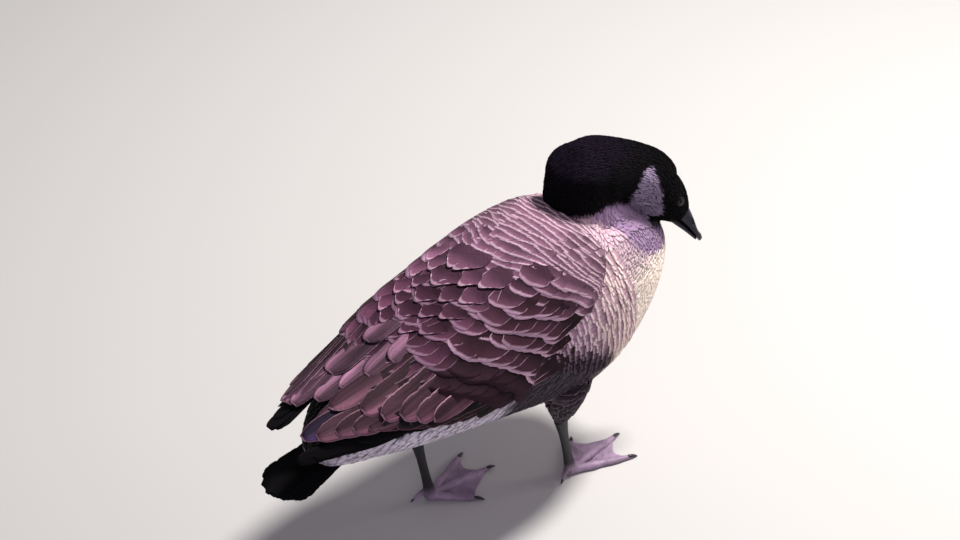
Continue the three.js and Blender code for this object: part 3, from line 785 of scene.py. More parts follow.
CAMERA_HEADING = 44 * DEGREE
CAMERA_PITCH = 37 * DEGREE
CAMERA_DISTANCE = 2300
CAMERA_TARGET = np.array([37, 72, 250.0])
FOCAL_PIXELS = 2030
PICTURE_WIDTH = 960
SENSOR_WIDTH = 36
LIGHTS = [
    ("key", (1.3, -0.2, 2.6), 0.45, 128, (1, 0.97, 0.93)),
    ("front", (2.1, -1.0, 0.9), 0.9, 12, (1, 0.95, 0.92)),
    ("fill", (-1.7, -2.1, 1.3), 2.4, 14, (0.9, 0.86, 1)),
]
LIT_PLACE = (0, 0, 0.2)
SKY = (0.9, 0.87, 1, 1)
SKY_STRENGTH = 0.27
FLOOR_SIZE = 12
FLOOR = (0.5, 0.49, 0.48, 1)


def add_camera():
    h, e = CAMERA_HEADING, CAMERA_PITCH
    vertical = np.array([0, 0, 1])
    right = np.array([math.cos(h), -math.sin(h), 0])
    away = np.array([math.sin(h), math.cos(h), 0])
    forward = away * math.cos(e) - vertical * math.sin(e)
    up = away * math.sin(e) + vertical * math.cos(e)
    data = bpy.data.cameras.new("camera")
    data.lens = FOCAL_PIXELS * SENSOR_WIDTH / PICTURE_WIDTH
    data.sensor_width = SENSOR_WIDTH
    data.sensor_fit = "HORIZONTAL"
    data.clip_start = 0.05
    made = linked("camera", data)
    place = to_frame(CAMERA_TARGET - forward * CAMERA_DISTANCE)
    made.matrix_world = Matrix([*zip(right, up, -forward, place), (0, 0, 0, 1)])
    bpy.context.scene.camera = made


def add_light(name, at, size, power, colour):
    data = bpy.data.lights.new(name, "AREA")
    data.shape = "DISK"
    data.size = size
    data.energy = power
    data.color = colour
    made = linked(name, data)
    made.location = at
    made.rotation_euler = (Vector(LIT_PLACE) - Vector(at)).to_track_quat("-Z", "Y").to_euler()


# Materials

SHAFT = (0.03, 0.015, 0.02, 1)
SKIN_PAINTED_SHADE = 0.25


class Nodes:
    """Short hands for one material's node tree."""

    def __init__(self, name):
        self.material = bpy.data.materials.new(name)
        self.material.use_nodes = True
        self.tree = self.material.node_tree
        self.shader = self.tree.nodes["Principled BSDF"]

    def add(self, kind, inputs=None, **settings):
        node = self.tree.nodes.new(kind)
        for key, value in settings.items():
            setattr(node, key, value)
        for key, value in (inputs or {}).items():
            self.put(node.inputs[key], value)
        return node

    def put(self, socket, value):
        if isinstance(value, bpy.types.NodeSocket):
            self.tree.links.new(value, socket)
        else:
            socket.default_value = value

    def math(self, operation, a, b=0.0):
        return self.add("ShaderNodeMath", {0: a, 1: b}, operation=operation).outputs[0]

    def times(self, a, b):
        return self.math("MULTIPLY", a, b)

    def place(self):
        return self.add("ShaderNodeTexCoord").outputs["Object"]

    def joined(self, *parts):
        return self.add("ShaderNodeCombineXYZ", dict(enumerate(parts))).outputs[0]

    def parts(self, vector):
        return self.add("ShaderNodeSeparateXYZ", {0: vector}).outputs

    def span(self, value, low, high, first=0.0, last=1.0):
        node = self.add(
            "ShaderNodeMapRange",
            {"Value": value, "From Min": low, "From Max": high, "To Min": first, "To Max": last},
            interpolation_type="SMOOTHSTEP",
        )
        return node.outputs["Result"]

    def mix(self, share, a, b, blend="MIX"):
        node = self.add("ShaderNodeMix", data_type="RGBA", blend_type=blend)
        self.put(node.inputs[0], share)
        self.put(node.inputs[6], a)
        self.put(node.inputs[7], b)
        return node.outputs[2]

    def tinted(self, a, b):
        return self.mix(1.0, a, b, "MULTIPLY")

    def attribute(self, name, output="Vector"):
        return self.add("ShaderNodeAttribute", attribute_name=name).outputs[output]

    def noise(self, vector, scale, detail=2.0, roughness=0.5):
        inputs = {"Vector": vector, "Scale": scale, "Detail": detail, "Roughness": roughness}
        return self.add("ShaderNodeTexNoise", inputs).outputs["Fac"]

    def bump(self, height, strength, distance):
        node = self.add("ShaderNodeBump", {"Height": height, "Strength": strength, "Distance": distance})
        self.put(self.shader.inputs["Normal"], node.outputs["Normal"])

    def finish(self, colour, roughness, **more):
        self.put(self.shader.inputs["Base Color"], colour)
        self.put(self.shader.inputs["Roughness"], roughness)
        for key, value in more.items():
            self.put(self.shader.inputs[key.replace("_", " ")], value)
        return self.material


def plumage_material(name, roughness, barbs=1, base=0.5, soft=0.5, sides=1, **look):
    """Feathers: painted shade darkens each where it comes out from under the others, with slanting barbs and
    a pale rim.
    """
    n = Nodes(name)
    u, v, seed = n.parts(n.attribute("vane"))
    side, tip, length = n.parts(n.attribute("edge"))
    slant = n.math("ADD", n.times(v, length), n.times(side, 0.9))
    barb = n.noise(n.joined(n.times(slant, 1.1), n.times(u, 0.8), n.times(seed, 40)), 1.0, 3.0, 0.65)
    lines = n.span(barb, 0.3, 0.7, -1, 1)
    tone = n.add("ShaderNodeAttribute", attribute_name="tone").outputs
    rim = n.add("ShaderNodeAttribute", attribute_name="rim").outputs
    bare = n.math("DIVIDE", tip, n.math("MAXIMUM", tone["Alpha"], 1.0))
    dark = n.span(tone["Alpha"], 5.0, 16.0, 0.5 + 0.5 * base, base)
    light = n.math("ADD", n.span(bare, 1.0, 0.15, dark, 1.0), n.times(lines, 0.12 * barbs))
    # With a slope, long feathers get painted shade along the side that the feather above covers, and painted
    # light towards their free edge
    if look.get("slope"):
        light = n.times(light, n.span(n.times(u, look["slope"]), -0.3, 0.8, 0.3, 1.25))
        streak = n.noise(n.joined(n.times(u, 3.2), n.times(v, 1.6), n.times(seed, 60)), 1.0, 3.0, 0.6)
        light = n.times(light, n.span(streak, 0.3, 0.7, 0.6, 1.35))
    colour = n.tinted(tone["Color"], light)
    distance = n.math("MINIMUM", n.times(side, sides), tip)
    distance = n.math("ADD", distance, n.times(lines, 0.35))
    share = n.math("DIVIDE", distance, n.math("MAXIMUM", rim["Alpha"], 0.01))
    share = n.times(n.span(share, 1 - soft, 1 + soft, 1, 0), n.span(seed, 0, 1, 0.7, 1.0))
    share = n.times(share, n.span(bare, 0.35, look.get("reach", 3.0), 1, 0))
    colour = n.mix(share, colour, rim["Color"])
    if look.get("quill"):
        colour = n.mix(n.span(n.math("ABSOLUTE", u), 0.02, 0.07, look["quill"], 0), colour, SHAFT)
    colour = n.tinted(colour, n.span(n.noise(n.place(), 26, 2), 0.3, 0.7, 0.88, 1.1))
    n.bump(barb, 0.3 * barbs, 0.0004)
    return n.finish(
        colour, roughness, Sheen_Weight=look.get("sheen", 0.0), Sheen_Roughness=0.5,
        Specular_IOR_Level=look.get("gloss", 0.3),
    )


add_camera()
for light in LIGHTS:
    add_light(*light)
world = bpy.data.worlds.new("studio")
world.use_nodes = True
world.node_tree.nodes["Background"].inputs["Color"].default_value = SKY
world.node_tree.nodes["Background"].inputs["Strength"].default_value = SKY_STRENGTH
bpy.context.scene.world = world
bpy.context.scene.view_settings.view_transform = "Standard"

bpy.ops.mesh.primitive_plane_add(size=FLOOR_SIZE)
floor = bpy.context.object
floor.name = "floor"
floor.data.materials.append(Nodes("floor").finish(FLOOR, 0.7))

# The pieces


def piece(made, material, slot, *nodes):
    made.data.materials.clear()
    made.data.materials.append(material)
    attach(made, "root")
    if nodes:
        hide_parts(*nodes)
    return made


soft = plumage_material("soft_plumage", 0.95, barbs=0.6, base=0.92, soft=0.8, sheen=0.1, gloss=0.1)
barred = plumage_material("barred_plumage", 0.9, base=0.45, soft=0.6, gloss=0.1, sides=8, reach=1.2)
sleek = plumage_material("sleek_plumage", 0.9, base=0.36, soft=0.6, gloss=0.1, sides=5, reach=0.95)
long_look = dict(base=0.45, soft=0.8, gloss=0.15, quill=0.5)
quilled = {
    side: plumage_material("long_plumage_" + name, 0.75, slope=-side, **long_look) for name, side in SIDES
}
velvet = plumage_material("velvet_plumage", 0.95, barbs=0.5, base=0.9, gloss=0.08)

# The skin under the coat is painted darker, as painted shade where it shows between the feathers
skin_tone, _ = markings(np.arange(len(skin_points)))
skin_tone = np.column_stack([skin_tone * SKIN_PAINTED_SHADE, np.ones(len(skin_points))])
skin_paint = skin.data.attributes.new("tone", "FLOAT_COLOR", "POINT")
skin_paint.data.foreach_set("color", skin_tone.astype(np.float32).ravel())
n = Nodes("skin")
cloud = n.noise(n.place(), 300, 3)
n.bump(cloud, 0.4, 0.001)
colour = n.tinted(n.attribute("tone", "Color"), n.span(cloud, 0.3, 0.7, 0.8, 1.1))
flesh = ("torso", "neck_lower", "neck_upper", "head", "thigh_left", "thigh_right")
piece(skin, n.finish(colour, 0.95, Specular_IOR_Level=0.1), "plumage_pale", *flesh)

# Scattered coat: the finest tufts on the face and neck, soft contour feathers on the rest

x, y, z = skin_points.T
over_line = z - level(STOCKING, x)
neck_top = in_neck & (over_line > -1)
under_wing = (skin_angle < level(WING_EDGE, x, 2) - 6) & (x < 76) & (x > -230)
body = ~in_head & ~neck_top & ~(under_wing & ~in_neck)
breast = body & (x > 84) & (skin_angle > 36)
mantle = body & ~breast & (x > 60) & (skin_angle < 60)
flank = body & ~breast & ~mantle & (x > -56) & (skin_angle < level(BELLY_EDGE, x) - 4)
rest = body & ~breast & ~mantle & ~flank
face_size = 1.5 + 0.8 * smooth(-head_place[:, 0], -30, 20)
neck_length = 4 + 4 * smooth(over_line, 0, 16)
finest = dict(columns=3, stray=0.1)
small = dict(columns=3, camber=0.06, stray=0.04, edge=1.4, bulge=0.5)
wide = dict(columns=4, camber=0.35, stray=0.07, fray=0.5, edge=2.0, bulge=0.4)
loose = dict(columns=4, camber=0.5, stray=0.07, fray=1.0, edge=1.4, bulge=0.3)
right, left = breast & (y < 0), breast & (y >= 0)
for name, region, spacing, length, width, rise, outline, seed, stations, shape in (
    ("head", in_head, face_size, face_size * 3.2, face_size * 1.3, (0.1, 0.7), tuft, 11, 4,
     dict(finest, camber=0.25)),
    ("neck", neck_top, 2.1, neck_length, 2.6, (0.1, 0.9), tuft, 21, 4, dict(finest, camber=0.3)),
    ("breast_right", right, 2.6, 12, 4.8, (0.06, 0.17), contour, 31, 4, small),
    ("breast_left", left, 2.6, 12, 4.8, (0.06, 0.17), contour, 33, 4, small),
    ("mantle", mantle, 3.4, 14, 6.4, (0.1, 0.9), contour, 41, 5, wide),
    ("rear", rest, 5.2, 18, 9, (0.1, 1.6), contour, 51, 5, loose),
):
    sizes = (np.broadcast_to(size, len(x)).astype(float) for size in (spacing, length, width))
    made = coat("coat_" + name, region * 1.0, *sizes, rise, outline, seed, stations, **shape)
    piece(made, *((velvet, "plumage_black") if outline is tuft else (soft, "plumage_pale")))

# Feathers in rows. Each row is given by the x of its tips at these angles from the top of the back

ROW_ANGLES = (0, 10, 28, 44, 58, 72, 88)
COVERT_ROWS = [
    (112, 110, 106, 100, 100, 106, 110),
    (104, 103, 101, 96, 98, 106, 110),
    (95, 94, 95, 93, 97, 106, 110),
    (86, 85, 89, 90, 96, 106, 110),
    (75, 75, 82, 87, 95, 105, 110),
    (63, 63, 75, 84, 95, 105, 110),
    (49, 50, 57, 70, 84, 98, 106),
    (33, 33, 38, 48, 71, 90, 100),
    (17, 19, 26, 39, 58, 80, 92),
    (-2, 3, 13, 22, 48, 70, 84),
    (-24, -22, -2, 6, 36, 60, 76),
    (-42, -38, -22, -11, 20, 48, 66),
    (-58, -54, -43, -26, 6, 36, 56),
    (-76, -72, -66, -50, -18, 14, 34),
    (-94, -91, -88, -78, -49, -20, 4),
    (-114, -112, -109, -93, -73, -45, -20),
    (-140, -137, -130, -123, -103, -78, -55),
    (-166, -164, -158, -150, -134, -108, -84),
    (-192, -190, -184, -176, -162, -138, -112),
]
FLANK_ROWS = range(124, -70, -9)
NO_END = 999
# How far the feathers point down from the bird's length, over the angle from the top
COVERT_TURN = [(-10, -6), (8, -4), (30, 8), (60, 14), (90, 6)]
FLANK_TURN = [(0, 12)]
SCAPULAR_TURN = [(0, -14)]
ROW_STEPS = np.array([0, 0.3, 0.5, 0.66, 0.8, 0.91, 1.0])
ROW_PITCH = 0.4
ROW_TILT = 0.4
LEAST_GAP = 2.5
HIDDEN_LENGTH = 7
VANE_THICKNESS = 0.3
MOST_STRETCH = 1.5
WING_LIMIT = [(112, 20), (106, 30), (84, 47), (50, 62), (0, 63), (-27, 72), (-42, 77), (-60, 97), (-165, 84)]


def arc(x, angle, side):
    """Millimetres to a degree round the body."""
    return np.linalg.norm(on_bed(x, angle + 0.5, side, 4) - on_bed(x, angle - 0.5, side, 4), axis=-1)


def row_feathers(lines, side, first, last, seed, **look):
    """Feathers along rows: for each its tip (x, angle), width, bare length and the slope of its row there.

    lines holds each row's x over the angle, and the angle that the row ends at."""
    dice = np.random.default_rng(seed)
    angles = np.arange(first, last + 0.25, 0.5)
    made = []
    for r in range(2, len(lines)):
        wave = [look["wave"] * np.sin(angles / 4.3 + 2.4 * k + np.sin(angles / 9 + k)) for k in (r, r - 1)]
        line, until = lines[r]
        line, ahead = line(angles) + wave[0], lines[r - 1][0](angles) + wave[1]
        ahead = np.where(angles < lines[r - 1][1], ahead, lines[r - 2][0](angles))
        gap = np.maximum(ahead - line, LEAST_GAP)
        place = on_bed(line, angles, side, 4)
        run = np.concatenate([[0], np.cumsum(np.linalg.norm(np.diff(place, axis=0), axis=1))])
        width = look["width"](gap)
        share = np.concatenate([[0], np.cumsum(np.diff(run) / (ROW_PITCH * width[1:]))])
        spots = np.arange((r % 2) * 0.5, share[-1], 1.0)
        spots = spots + dice.uniform(-0.16, 0.16, len(spots))
        angle = np.interp(spots, share, angles)
        angle = angle[angle < until]
        at = lambda values: np.interp(angle, angles, values)
        line_x = at(line) + dice.uniform(-1, 1, len(angle)) * look["loose"] * at(gap)
        even = np.convolve(np.pad(line, 8, "reflect", reflect_type="odd"), np.ones(17) / 17, "valid")
        slope = np.gradient(even, angles) / arc(line, angles, side)
        wide = at(width) * dice.uniform(0.92, 1.1, len(angle))
        made.append(np.stack([line_x, angle, wide, at(gap), at(slope)], -1))
    return np.concatenate(made)


def over_wing(x, angle, side):
    """Points and normals where the rows lie: over the folded wing, and down to the mantle before it."""
    front = smooth(x, 86, 112)
    share, thickness = across_wing(x, np.abs(angle))
    height = (WING_UNDER - 1.2 + thickness - smooth(share, 0.6, 1)) * (1 - front) - 2.4 * front
    height = height - 9 * smooth(share, 0.98, 1.22)
    points = on_bed(x, angle, side, height)
    return points, unit(on_bed(x, angle, side, height + 1) - points)


def lay_rows(name, rows, side, turn, paint, outline, material, slot, *node, **shape):
    """Lays row feathers over the skin. turn is a table of how far they point down from the bird's length, in
    degrees, over the angle from the top of the back."""
    tip_x, tip_angle, width, gap, slope = rows.T
    length = gap * (1.3 + shape.pop("long") * smooth(tip_x, shape.pop("front", 108), 78)) + HIDDEN_LENGTH
    swing = level(turn, tip_angle) * DEGREE + random.normal(0, 0.05, len(rows))
    slant = (np.sin(swing) - slope * np.cos(swing)) / (np.cos(swing) + slope * np.sin(swing))
    root_x = tip_x + length * np.cos(swing)
    root_angle = tip_angle - length * np.sin(swing) / arc(tip_x, tip_angle, side)
    x = root_x[:, None] + (tip_x - root_x)[:, None] * ROW_STEPS
    angle = root_angle[:, None] + (tip_angle - root_angle)[:, None] * ROW_STEPS
    on_wing = shape.pop("on_wing", True)
    centres, up = over_wing(x, angle, side) if on_wing else nearest(on_bed(x, angle, side, 0))
    leap = np.linalg.norm(np.diff(centres, axis=1), axis=2) / (np.diff(ROW_STEPS) * length[:, None])
    whole = leap.max(1) < MOST_STRETCH
    rows, centres, up, gap, width = rows[whole], centres[whole], up[whole], gap[whole], width[whole]
    shape["bulge"] = 0.08 + shape.pop("round") * smooth(gap, 12, 24)
    shape["slant"] = np.clip(slant[whole], -0.9, 0.9) * -side
    if on_wing:
        x, angle, swing = x[whole, :, None], angle[whole, :, None], swing[whole, None, None]
        degree = arc(tip_x, tip_angle, side)[whole, None, None]

        def place(across, along):
            down = -side * across
            turned = (np.cos(swing) * down + np.sin(swing) * along) / degree
            return over_wing(x + np.sin(swing) * down - np.cos(swing) * along, angle + turned, side)

        shape["place"] = place
    tone, rim, edge = paint(rows, side)
    tone = tone * (1 + 0.12 * random.uniform(-1, 1, (len(rows), 1)))
    root = shape.pop("root", 0.0) - 1.5 * smooth(tip_x[whole], 52, 80)
    rise = np.stack([root, shape.pop("low") + shape.pop("more") * smooth(gap, 8, 26)], -1)
    made = add_vanes(
        name, centres, up, width, rise, outline, tone, rim, edge, steps=ROW_STEPS, visible=gap,
        thick=VANE_THICKNESS, tilt=-ROW_TILT * side, twist=random.normal(0, 0.2, len(rows)), **shape,
    )
    piece(made, material, slot, *node)


def repeated(colour, rows):
    return np.repeat(colour[None], len(rows), 0)


def covert_paint(rows, side):
    x, angle, _, gap, _ = rows.T
    tone, rim = repeated(WING, rows), repeated(WING_RIM, rows)
    down = 0 if side < 0 else 12
    behind = x - 1.6 * (angle - 44)
    # Over the wing's own browns, the tones turn darker towards the wing's lower rows: painted shade
    for colour, edge, share in (
        (BACK, BACK_RIM, smooth(x, -120, -25) * (0.3 + 0.7 * smooth(angle, 44 + down, 20 + down))),
        (SHOULDER, SHOULDER_RIM, smooth(x, -30, 40)),
        (MANTLE, MANTLE_RIM, smooth(x, 50, 92)),
        (DARK, DARK_RIM, smooth(x, 4, -30) * smooth(angle, 24 + down, 38 + down)),
        (LONG_LOW, LONG_LOW, smooth(behind, -128, -142) * smooth(angle, 28 + down, 40 + down)),
    ):
        tone, rim = mixed(tone, colour, share), mixed(rim, edge, share)
    dim = 0.38 * smooth(angle, 12, 24) * smooth(angle, 64, 52) * smooth(x, 92, 66) * smooth(x, 0, 24)
    dim = dim + 0.4 * smooth(angle, 22 + down, 8 + down) * smooth(x, -84, -104)
    # The far wing's rear coverts are painted lighter: painted light
    lift = 0.7 * (side > 0) * smooth(angle, 16, 26) * smooth(x, -34, -60)
    change = (1 - dim + lift)[:, None]
    return tone * change, rim * (0.5 + 0.5 * change), np.clip(gap * 0.2, 2.2, 4.0)


def flank_paint(rows, side):
    x, angle = rows[:, 0], rows[:, 1]
    tone, rim = markings(nearest_vertex(on_bed(x, angle, side, 0)))
    share = smooth(x, -76, -16) * smooth(angle - 0.26 * x, 88, 74)
    front = smooth(x, 10, 76)
    tone = mixed(tone, mixed(FLANK * 1.1, STREAK * 1.25, smooth(x, 30, 84)), share)
    return tone, mixed(rim, mixed(FLANK_RIM * 0.8, CREAM, front), share), 2.5 - 0.6 * smooth(angle, 85, 105)


for name, side in SIDES:
    places = np.concatenate([np.arange(2.5, 13, 0.5), np.arange(13, len(COVERT_ROWS))])
    lines = [
        (lambda a, row=row: np.interp(a, ROW_ANGLES, row), 30 if place > 9 and place % 1 else NO_END)
        for place, row in zip(places, spline(COVERT_ROWS, places))
    ]
    midline = -12 if side < 0 else 6
    rows = row_feathers(
        lines, side, midline, 96, 60 + side, width=lambda gap: np.clip(gap + 16, 24, 34), loose=0.12, wave=1.2
    )
    limit = level(WING_LIMIT, rows[:, 0])
    start = midline * smooth(rows[:, 0], 90, 20)
    rows = rows[(rows[:, 1] < limit + 2) & (rows[:, 1] > start) & (rows[:, 3] > 3.6)]
    lay_rows(
        "coverts_" + name, rows, side, COVERT_TURN, covert_paint, broad, sleek, "wing_feathers",
        "wing_" + name, columns=13, camber=0.25, long=1.1, round=0.3, fray=0.6, ragged=0.12, low=1.1,
        more=1.9,
    )
    lines = [(lambda a, x0=x0: x0 + FLANK_LEAN * (a - 60), NO_END) for x0 in FLANK_ROWS]
    rows = row_feathers(lines, side, 46, 118, 70 + side, width=lambda gap: 17 + 0 * gap, loose=0.3, wave=0.6)
    limit = level(WING_LIMIT, rows[:, 0])
    rows = rows[(rows[:, 1] > limit - 5) & (rows[:, 1] < level(BELLY_EDGE, rows[:, 0]))]
    lay_rows(
        "flank_" + name, rows, side, FLANK_TURN, flank_paint, broad, barred, "plumage_pale", on_wing=False,
        front=112, columns=9, camber=0.4, long=1.1, round=0, fray=0.7, ragged=0.15, low=1.2, more=1.0,
        root=-0.6,
    )

# Scapulars: the longest feathers of the back, over the rows between the wings

for name, side in SIDES:
    shift = 14 if side > 0 else 0
    rows = [
        (-62 - 26 * k - 12 * (column % 2), shift - 5 + 9.5 * column - 1.2 * k, 31 - 2 * column, 27, 0)
        for column in range(3)
        for k in range(4)
    ]
    rows = np.array(rows, float)
    lay_rows(
        "scapulars_" + name, rows, side, SCAPULAR_TURN, covert_paint, contour, sleek, "wing_feathers",
        columns=13, camber=0.5, long=0.3, round=0.55, fray=0.4, ragged=0.1, low=2.4, more=1.6,
    )

# Long feathers: each lies free of the skin over the wing's bed, and has a shaft and split barbs

QUILL_COLUMNS = (-1, -0.7, -0.36, -QUILL_WIDTH, 0, QUILL_WIDTH, 0.36, 0.7, 1)
LONG_PATCH = 0.02
LONG_BARE = 95
LONG_TILT = 0.55
UPPER_RIGHT = [
    (-100, 14, -262, 14, 28), (-96, 24, -240, 33, 29), (-92, 34, -227, 47, 28), (-88, 43, -210, 56, 27),
    (-84, 52, -196, 65, 26), (-80, 61, -180, 74, 25),
]
UPPER_LEFT = [
    (-70, 10, -178, 12, 34), (-110, 14, -229, 15, 36), (-90, -6, -180, -12, 27), (-95, -3, -208, -8, 27),
    (-100, 0, -236, -3, 27), (-105, 4, -262, 3, 27), (-96, 26, -250, 30, 28),
]


def long_vanes(name, rows, side, lift, tone, rim, edge, material, node, camber):
    """Long feathers on the wing's bed, from rows (x and angle at the root, x and angle at the tip, width)."""
    rows = np.asarray(rows, float)
    steps = np.linspace(0, 1, 34)
    x = rows[:, 0:1] + (rows[:, 2:3] - rows[:, 0:1]) * steps
    angle = rows[:, 1:2] + (rows[:, 3:4] - rows[:, 1:2]) * steps
    height = lift(np.linspace(0, 1, len(rows))[:, None], steps)
    centres = on_bed(x, angle, side, height)
    up = unit(on_bed(x, angle, side, height + 1) - centres)
    tone = tone * (1 + 0.16 * random.uniform(-1, 1, (len(rows), 1)))
    made = add_vanes(
        name, centres, up, rows[:, 4], np.zeros((len(rows), 2)), blade, tone, rim, edge, steps=steps,
        across=QUILL_COLUMNS, quill=0.35, tilt=-LONG_TILT * side, ragged=0.12, nick_power=6.0,
        patch=LONG_PATCH, twist=random.normal(-0.4 * side, 0.9, len(rows)), visible=LONG_BARE, camber=camber,
    )
    piece(made, material, "wing_feathers", node)


for name, side in SIDES:
    rows = np.array(FLIGHT, float)
    rows[:, 2] = np.maximum(rows[:, 2], -320 if side < 0 else -282)
    rows[:, 4] *= 0.86
    # Lower in the fan the feathers are painted darker, as painted shade low on the wing; the far wing's are
    # painted lighter, as painted light
    low = smooth(rows[:, 3], 34, 60)
    long_tone = LONG if side < 0 else LONG_FAR_PAINTED_LIGHT
    tone, rim = mixed(long_tone, FAN_LOW, low), mixed(LONG_RIM, LONG, low)
    if side < 0:
        tone[1] = VIOLET
    lift = lambda share, s: (8 + (4.4 - 8) * share) * s + (6 + (2.4 - 8) * share) * (1 - s)
    dress = (quilled[side], "wing_" + name)
    long_vanes("flight_" + name, rows, side, lift, tone, rim, 0.9, *dress, 0.9)
    upper = UPPER_RIGHT if side < 0 else UPPER_LEFT
    lift = lambda share, s: (10.5 - 3 * share) * s + 2.0 * (1 - s)
    tone, rim = repeated(long_tone, upper) * 0.95, repeated(LONG_RIM, upper)
    long_vanes("tertials_" + name, upper, side, lift, tone, rim, 1.1, *dress, 1.5)

tail_material = plumage_material("tail_plumage", 0.85, gloss=0.07, soft=0.5)
for name, side in SIDES:
    rows = []
    for k in range(7):
        x0, x1 = -60 - 12 * k, -150 - 18 * k
        upper, lower = level(PRIMARY_EDGE, x1), level(VENT_EDGE, x1)
        a1 = upper + (lower - upper) * (0.25 + 0.5 * (k % 2))
        upper, lower = level(PRIMARY_EDGE, x0), level(VENT_EDGE, x0) - 4
        rows.append((x0, (upper + lower) / 2, x1, a1, 18))
    rows += [(x0, a0 - 8, x1 if side < 0 else max(x1, -280), a1 - 5, w) for x0, a0, x1, a1, w in PRIMARIES]
    if side > 0:
        rows += [(-200, 34, -300, 31, 22), (-205, 28, -313, 25, 22), (-205, 22, -309, 18, 22)]
    order = np.arange(len(rows))[:, None]
    lift = lambda share, s: np.where(order < 7, 0.2 + 0.15 * order, 1.1 - 0.25 * (order % 11)) + 0 * s
    tone = repeated(BLACK, rows)
    dress = (tail_material, "primaries_" + name)
    long_vanes("primary_vanes_" + name, rows, side, lift, tone, tone * 1.6, 0.8, *dress, 0.6)

TAIL_COUNT = 18
TAIL_WIDTH = 17.0

root, tip = np.array(TAIL_ROOT, float), np.array(TAIL_TIP, float)
along = unit(tip - root)
across = unit(np.array([0, 1, 0]) - along * along[1])
rise = np.cross(across, along)
rise *= np.sign(rise[2])
share = np.linspace(-1, 1, TAIL_COUNT)
turn, start = share * 7 * DEGREE, share * 16
length = np.linalg.norm(tip - root) * (1 - 0.16 * share**2) * random.uniform(0.97, 1.0, TAIL_COUNT)
steps = np.linspace(0, 1, 30)
far = np.cos(turn)[:, None] * length[:, None] * steps
wide = start[:, None] + np.sin(turn)[:, None] * length[:, None] * steps
high = 1.8 - 4.6 * np.abs(share)[:, None] + 0 * steps
centres = root + far[..., None] * along + wide[..., None] * across + high[..., None] * rise
tone = repeated(BLACK, share) * (1 + 0.3 * random.uniform(-1, 1, (TAIL_COUNT, 1)))
made = add_vanes(
    "tail_vanes", centres, np.broadcast_to(rise, centres.shape), np.full(TAIL_COUNT, TAIL_WIDTH),
    np.zeros((TAIL_COUNT, 2)), blade, tone, tone * 1.5, 0.8, across=QUILL_COLUMNS, quill=0.3, camber=0.8,
    steps=steps, patch=LONG_PATCH, ragged=0.2, nick_power=5.0,
)
piece(made, tail_material, "tail_feathers", "tail")

# Bill, eyes and legs: smooth forms over the same measures

BILL_VOXEL = 0.0005
LEG_VOXEL = 0.0008


def smooth_form(name, pieces, material, slot, node, voxel, rounds):
    return piece(melted(name, pieces, voxel, rounds)[0], material, slot, node)


def horn_material(name, colour, roughness, scale=60.0, shade=None):
    n = Nodes(name)
    place = n.place()
    cloud = n.noise(place, scale, 4)
    fine = n.noise(place, scale * 12, 3)
    colour = n.tinted((*colour, 1), n.span(cloud, 0.3, 0.7, 0.7, 1.35))
    if shade:
        colour = n.tinted(colour, n.attribute(shade, "Color"))
    n.bump(fine, 0.25, 0.0003)
    rough = n.span(fine, 0.3, 0.7, roughness - 0.08, roughness + 0.12)
    return n.finish(colour, rough, Specular_IOR_Level=0.35)


def bill_rings(rows):
    t = np.linspace(0, len(rows) - 1, 26)
    angle = np.linspace(0, 2 * math.pi, 36, endpoint=False)
    return from_head(section(spline(rows, t)[:, None], angle[None], 0, 0.4, 2.6))


def detail_bill(made):
    """Sinks the nostrils into the bill, and raises a lip round them, the nail and small teeth at the edge."""
    points = coordinates(made.data)
    x, y, z = to_head(points).T
    hollow = ((x - 51) / 5.2) ** 2 + ((z - 0.6 + 0.42 * (x - 51)) / 1.9) ** 2
    side = smooth(np.abs(y), 3.0, 4.5)
    nostril = smooth(hollow, 1.25, 0.45) * side
    lip = np.exp(-(((hollow - 1.6) / 0.45) ** 2)) * side
    nail = smooth(x, 73.0, 75.5) * smooth(np.abs(y), 5.2, 3.8) * smooth(z, -9, -7)
    teeth = 0.18 * np.sin(x * 4.2) * np.exp(-(((z + 8.6 + 0.04 * (x - 40)) / 0.9) ** 2)) * smooth(x, 34, 42)
    depth = -1.7 * nostril + 0.35 * lip + 0.45 * nail + teeth
    move_to(made.data, points + normals(made.data) * depth[:, None])
    # The nostrils' hollows are painted dark: painted shade
    shade = np.clip(1 - 0.9 * nostril, 0, 1)
    paint = made.data.attributes.new("shade", "FLOAT_COLOR", "POINT")
    paint.data.foreach_set("color", np.repeat(shade, 4).astype(np.float32))


bill_material = horn_material("bill_horn", linear(20, 16, 32), 0.42, shade="shade")
for name, rows in (("upper", BILL_UPPER), ("lower", BILL_LOWER)):
    rows = np.array(rows, float)
    if name == "lower":
        rows[:, 1] += 0.45
    form = loft(bill_rings(rows))
    detail_bill(smooth_form(name + "_bill", [form], bill_material, "bill", "bill_" + name, BILL_VOXEL, 3))

# Feet: knuckled toes with the web between them, and a claw on each

TOES = [(38 * DEGREE, 56, 4.8), (0.0, 86, 5.3), (-28 * DEGREE, 79, 4.9)]
KNUCKLES = [
    (0.1, 6, 1.02, 5.6), (0.2, 4.8, 0.9, 4.7), (0.4, 4.5, 1.06, 4.6), (0.49, 3.9, 0.84, 4.0),
    (0.58, 3.8, 0.86, 3.9), (0.74, 3.6, 0.94, 3.7), (0.9, 2.9, 0.66, 3), (1, 2.5, 0.5, 2.4),
]
HIND_TOE = [(-1, 0, 17, 4.2), (-8, 2, 14, 3.4), (-14, 3.5, 10, 3), (-19, 5, 6, 1.8)]
CLAW = [
    (-4, 3.4, 2.5, 2.3), (0.3, 3.6, 2.3, 2.2), (4, 2.9, 1.6, 1.7), (7, 1.6, 0.8, 0.9), (8.4, 0.9, 0.3, 0.35),
]
HIND_CLAW = [(-18, 4.7, 7, 1.7), (-21, 5.6, 4.4, 1.1), (-22.5, 6, 2.4, 0.4)]
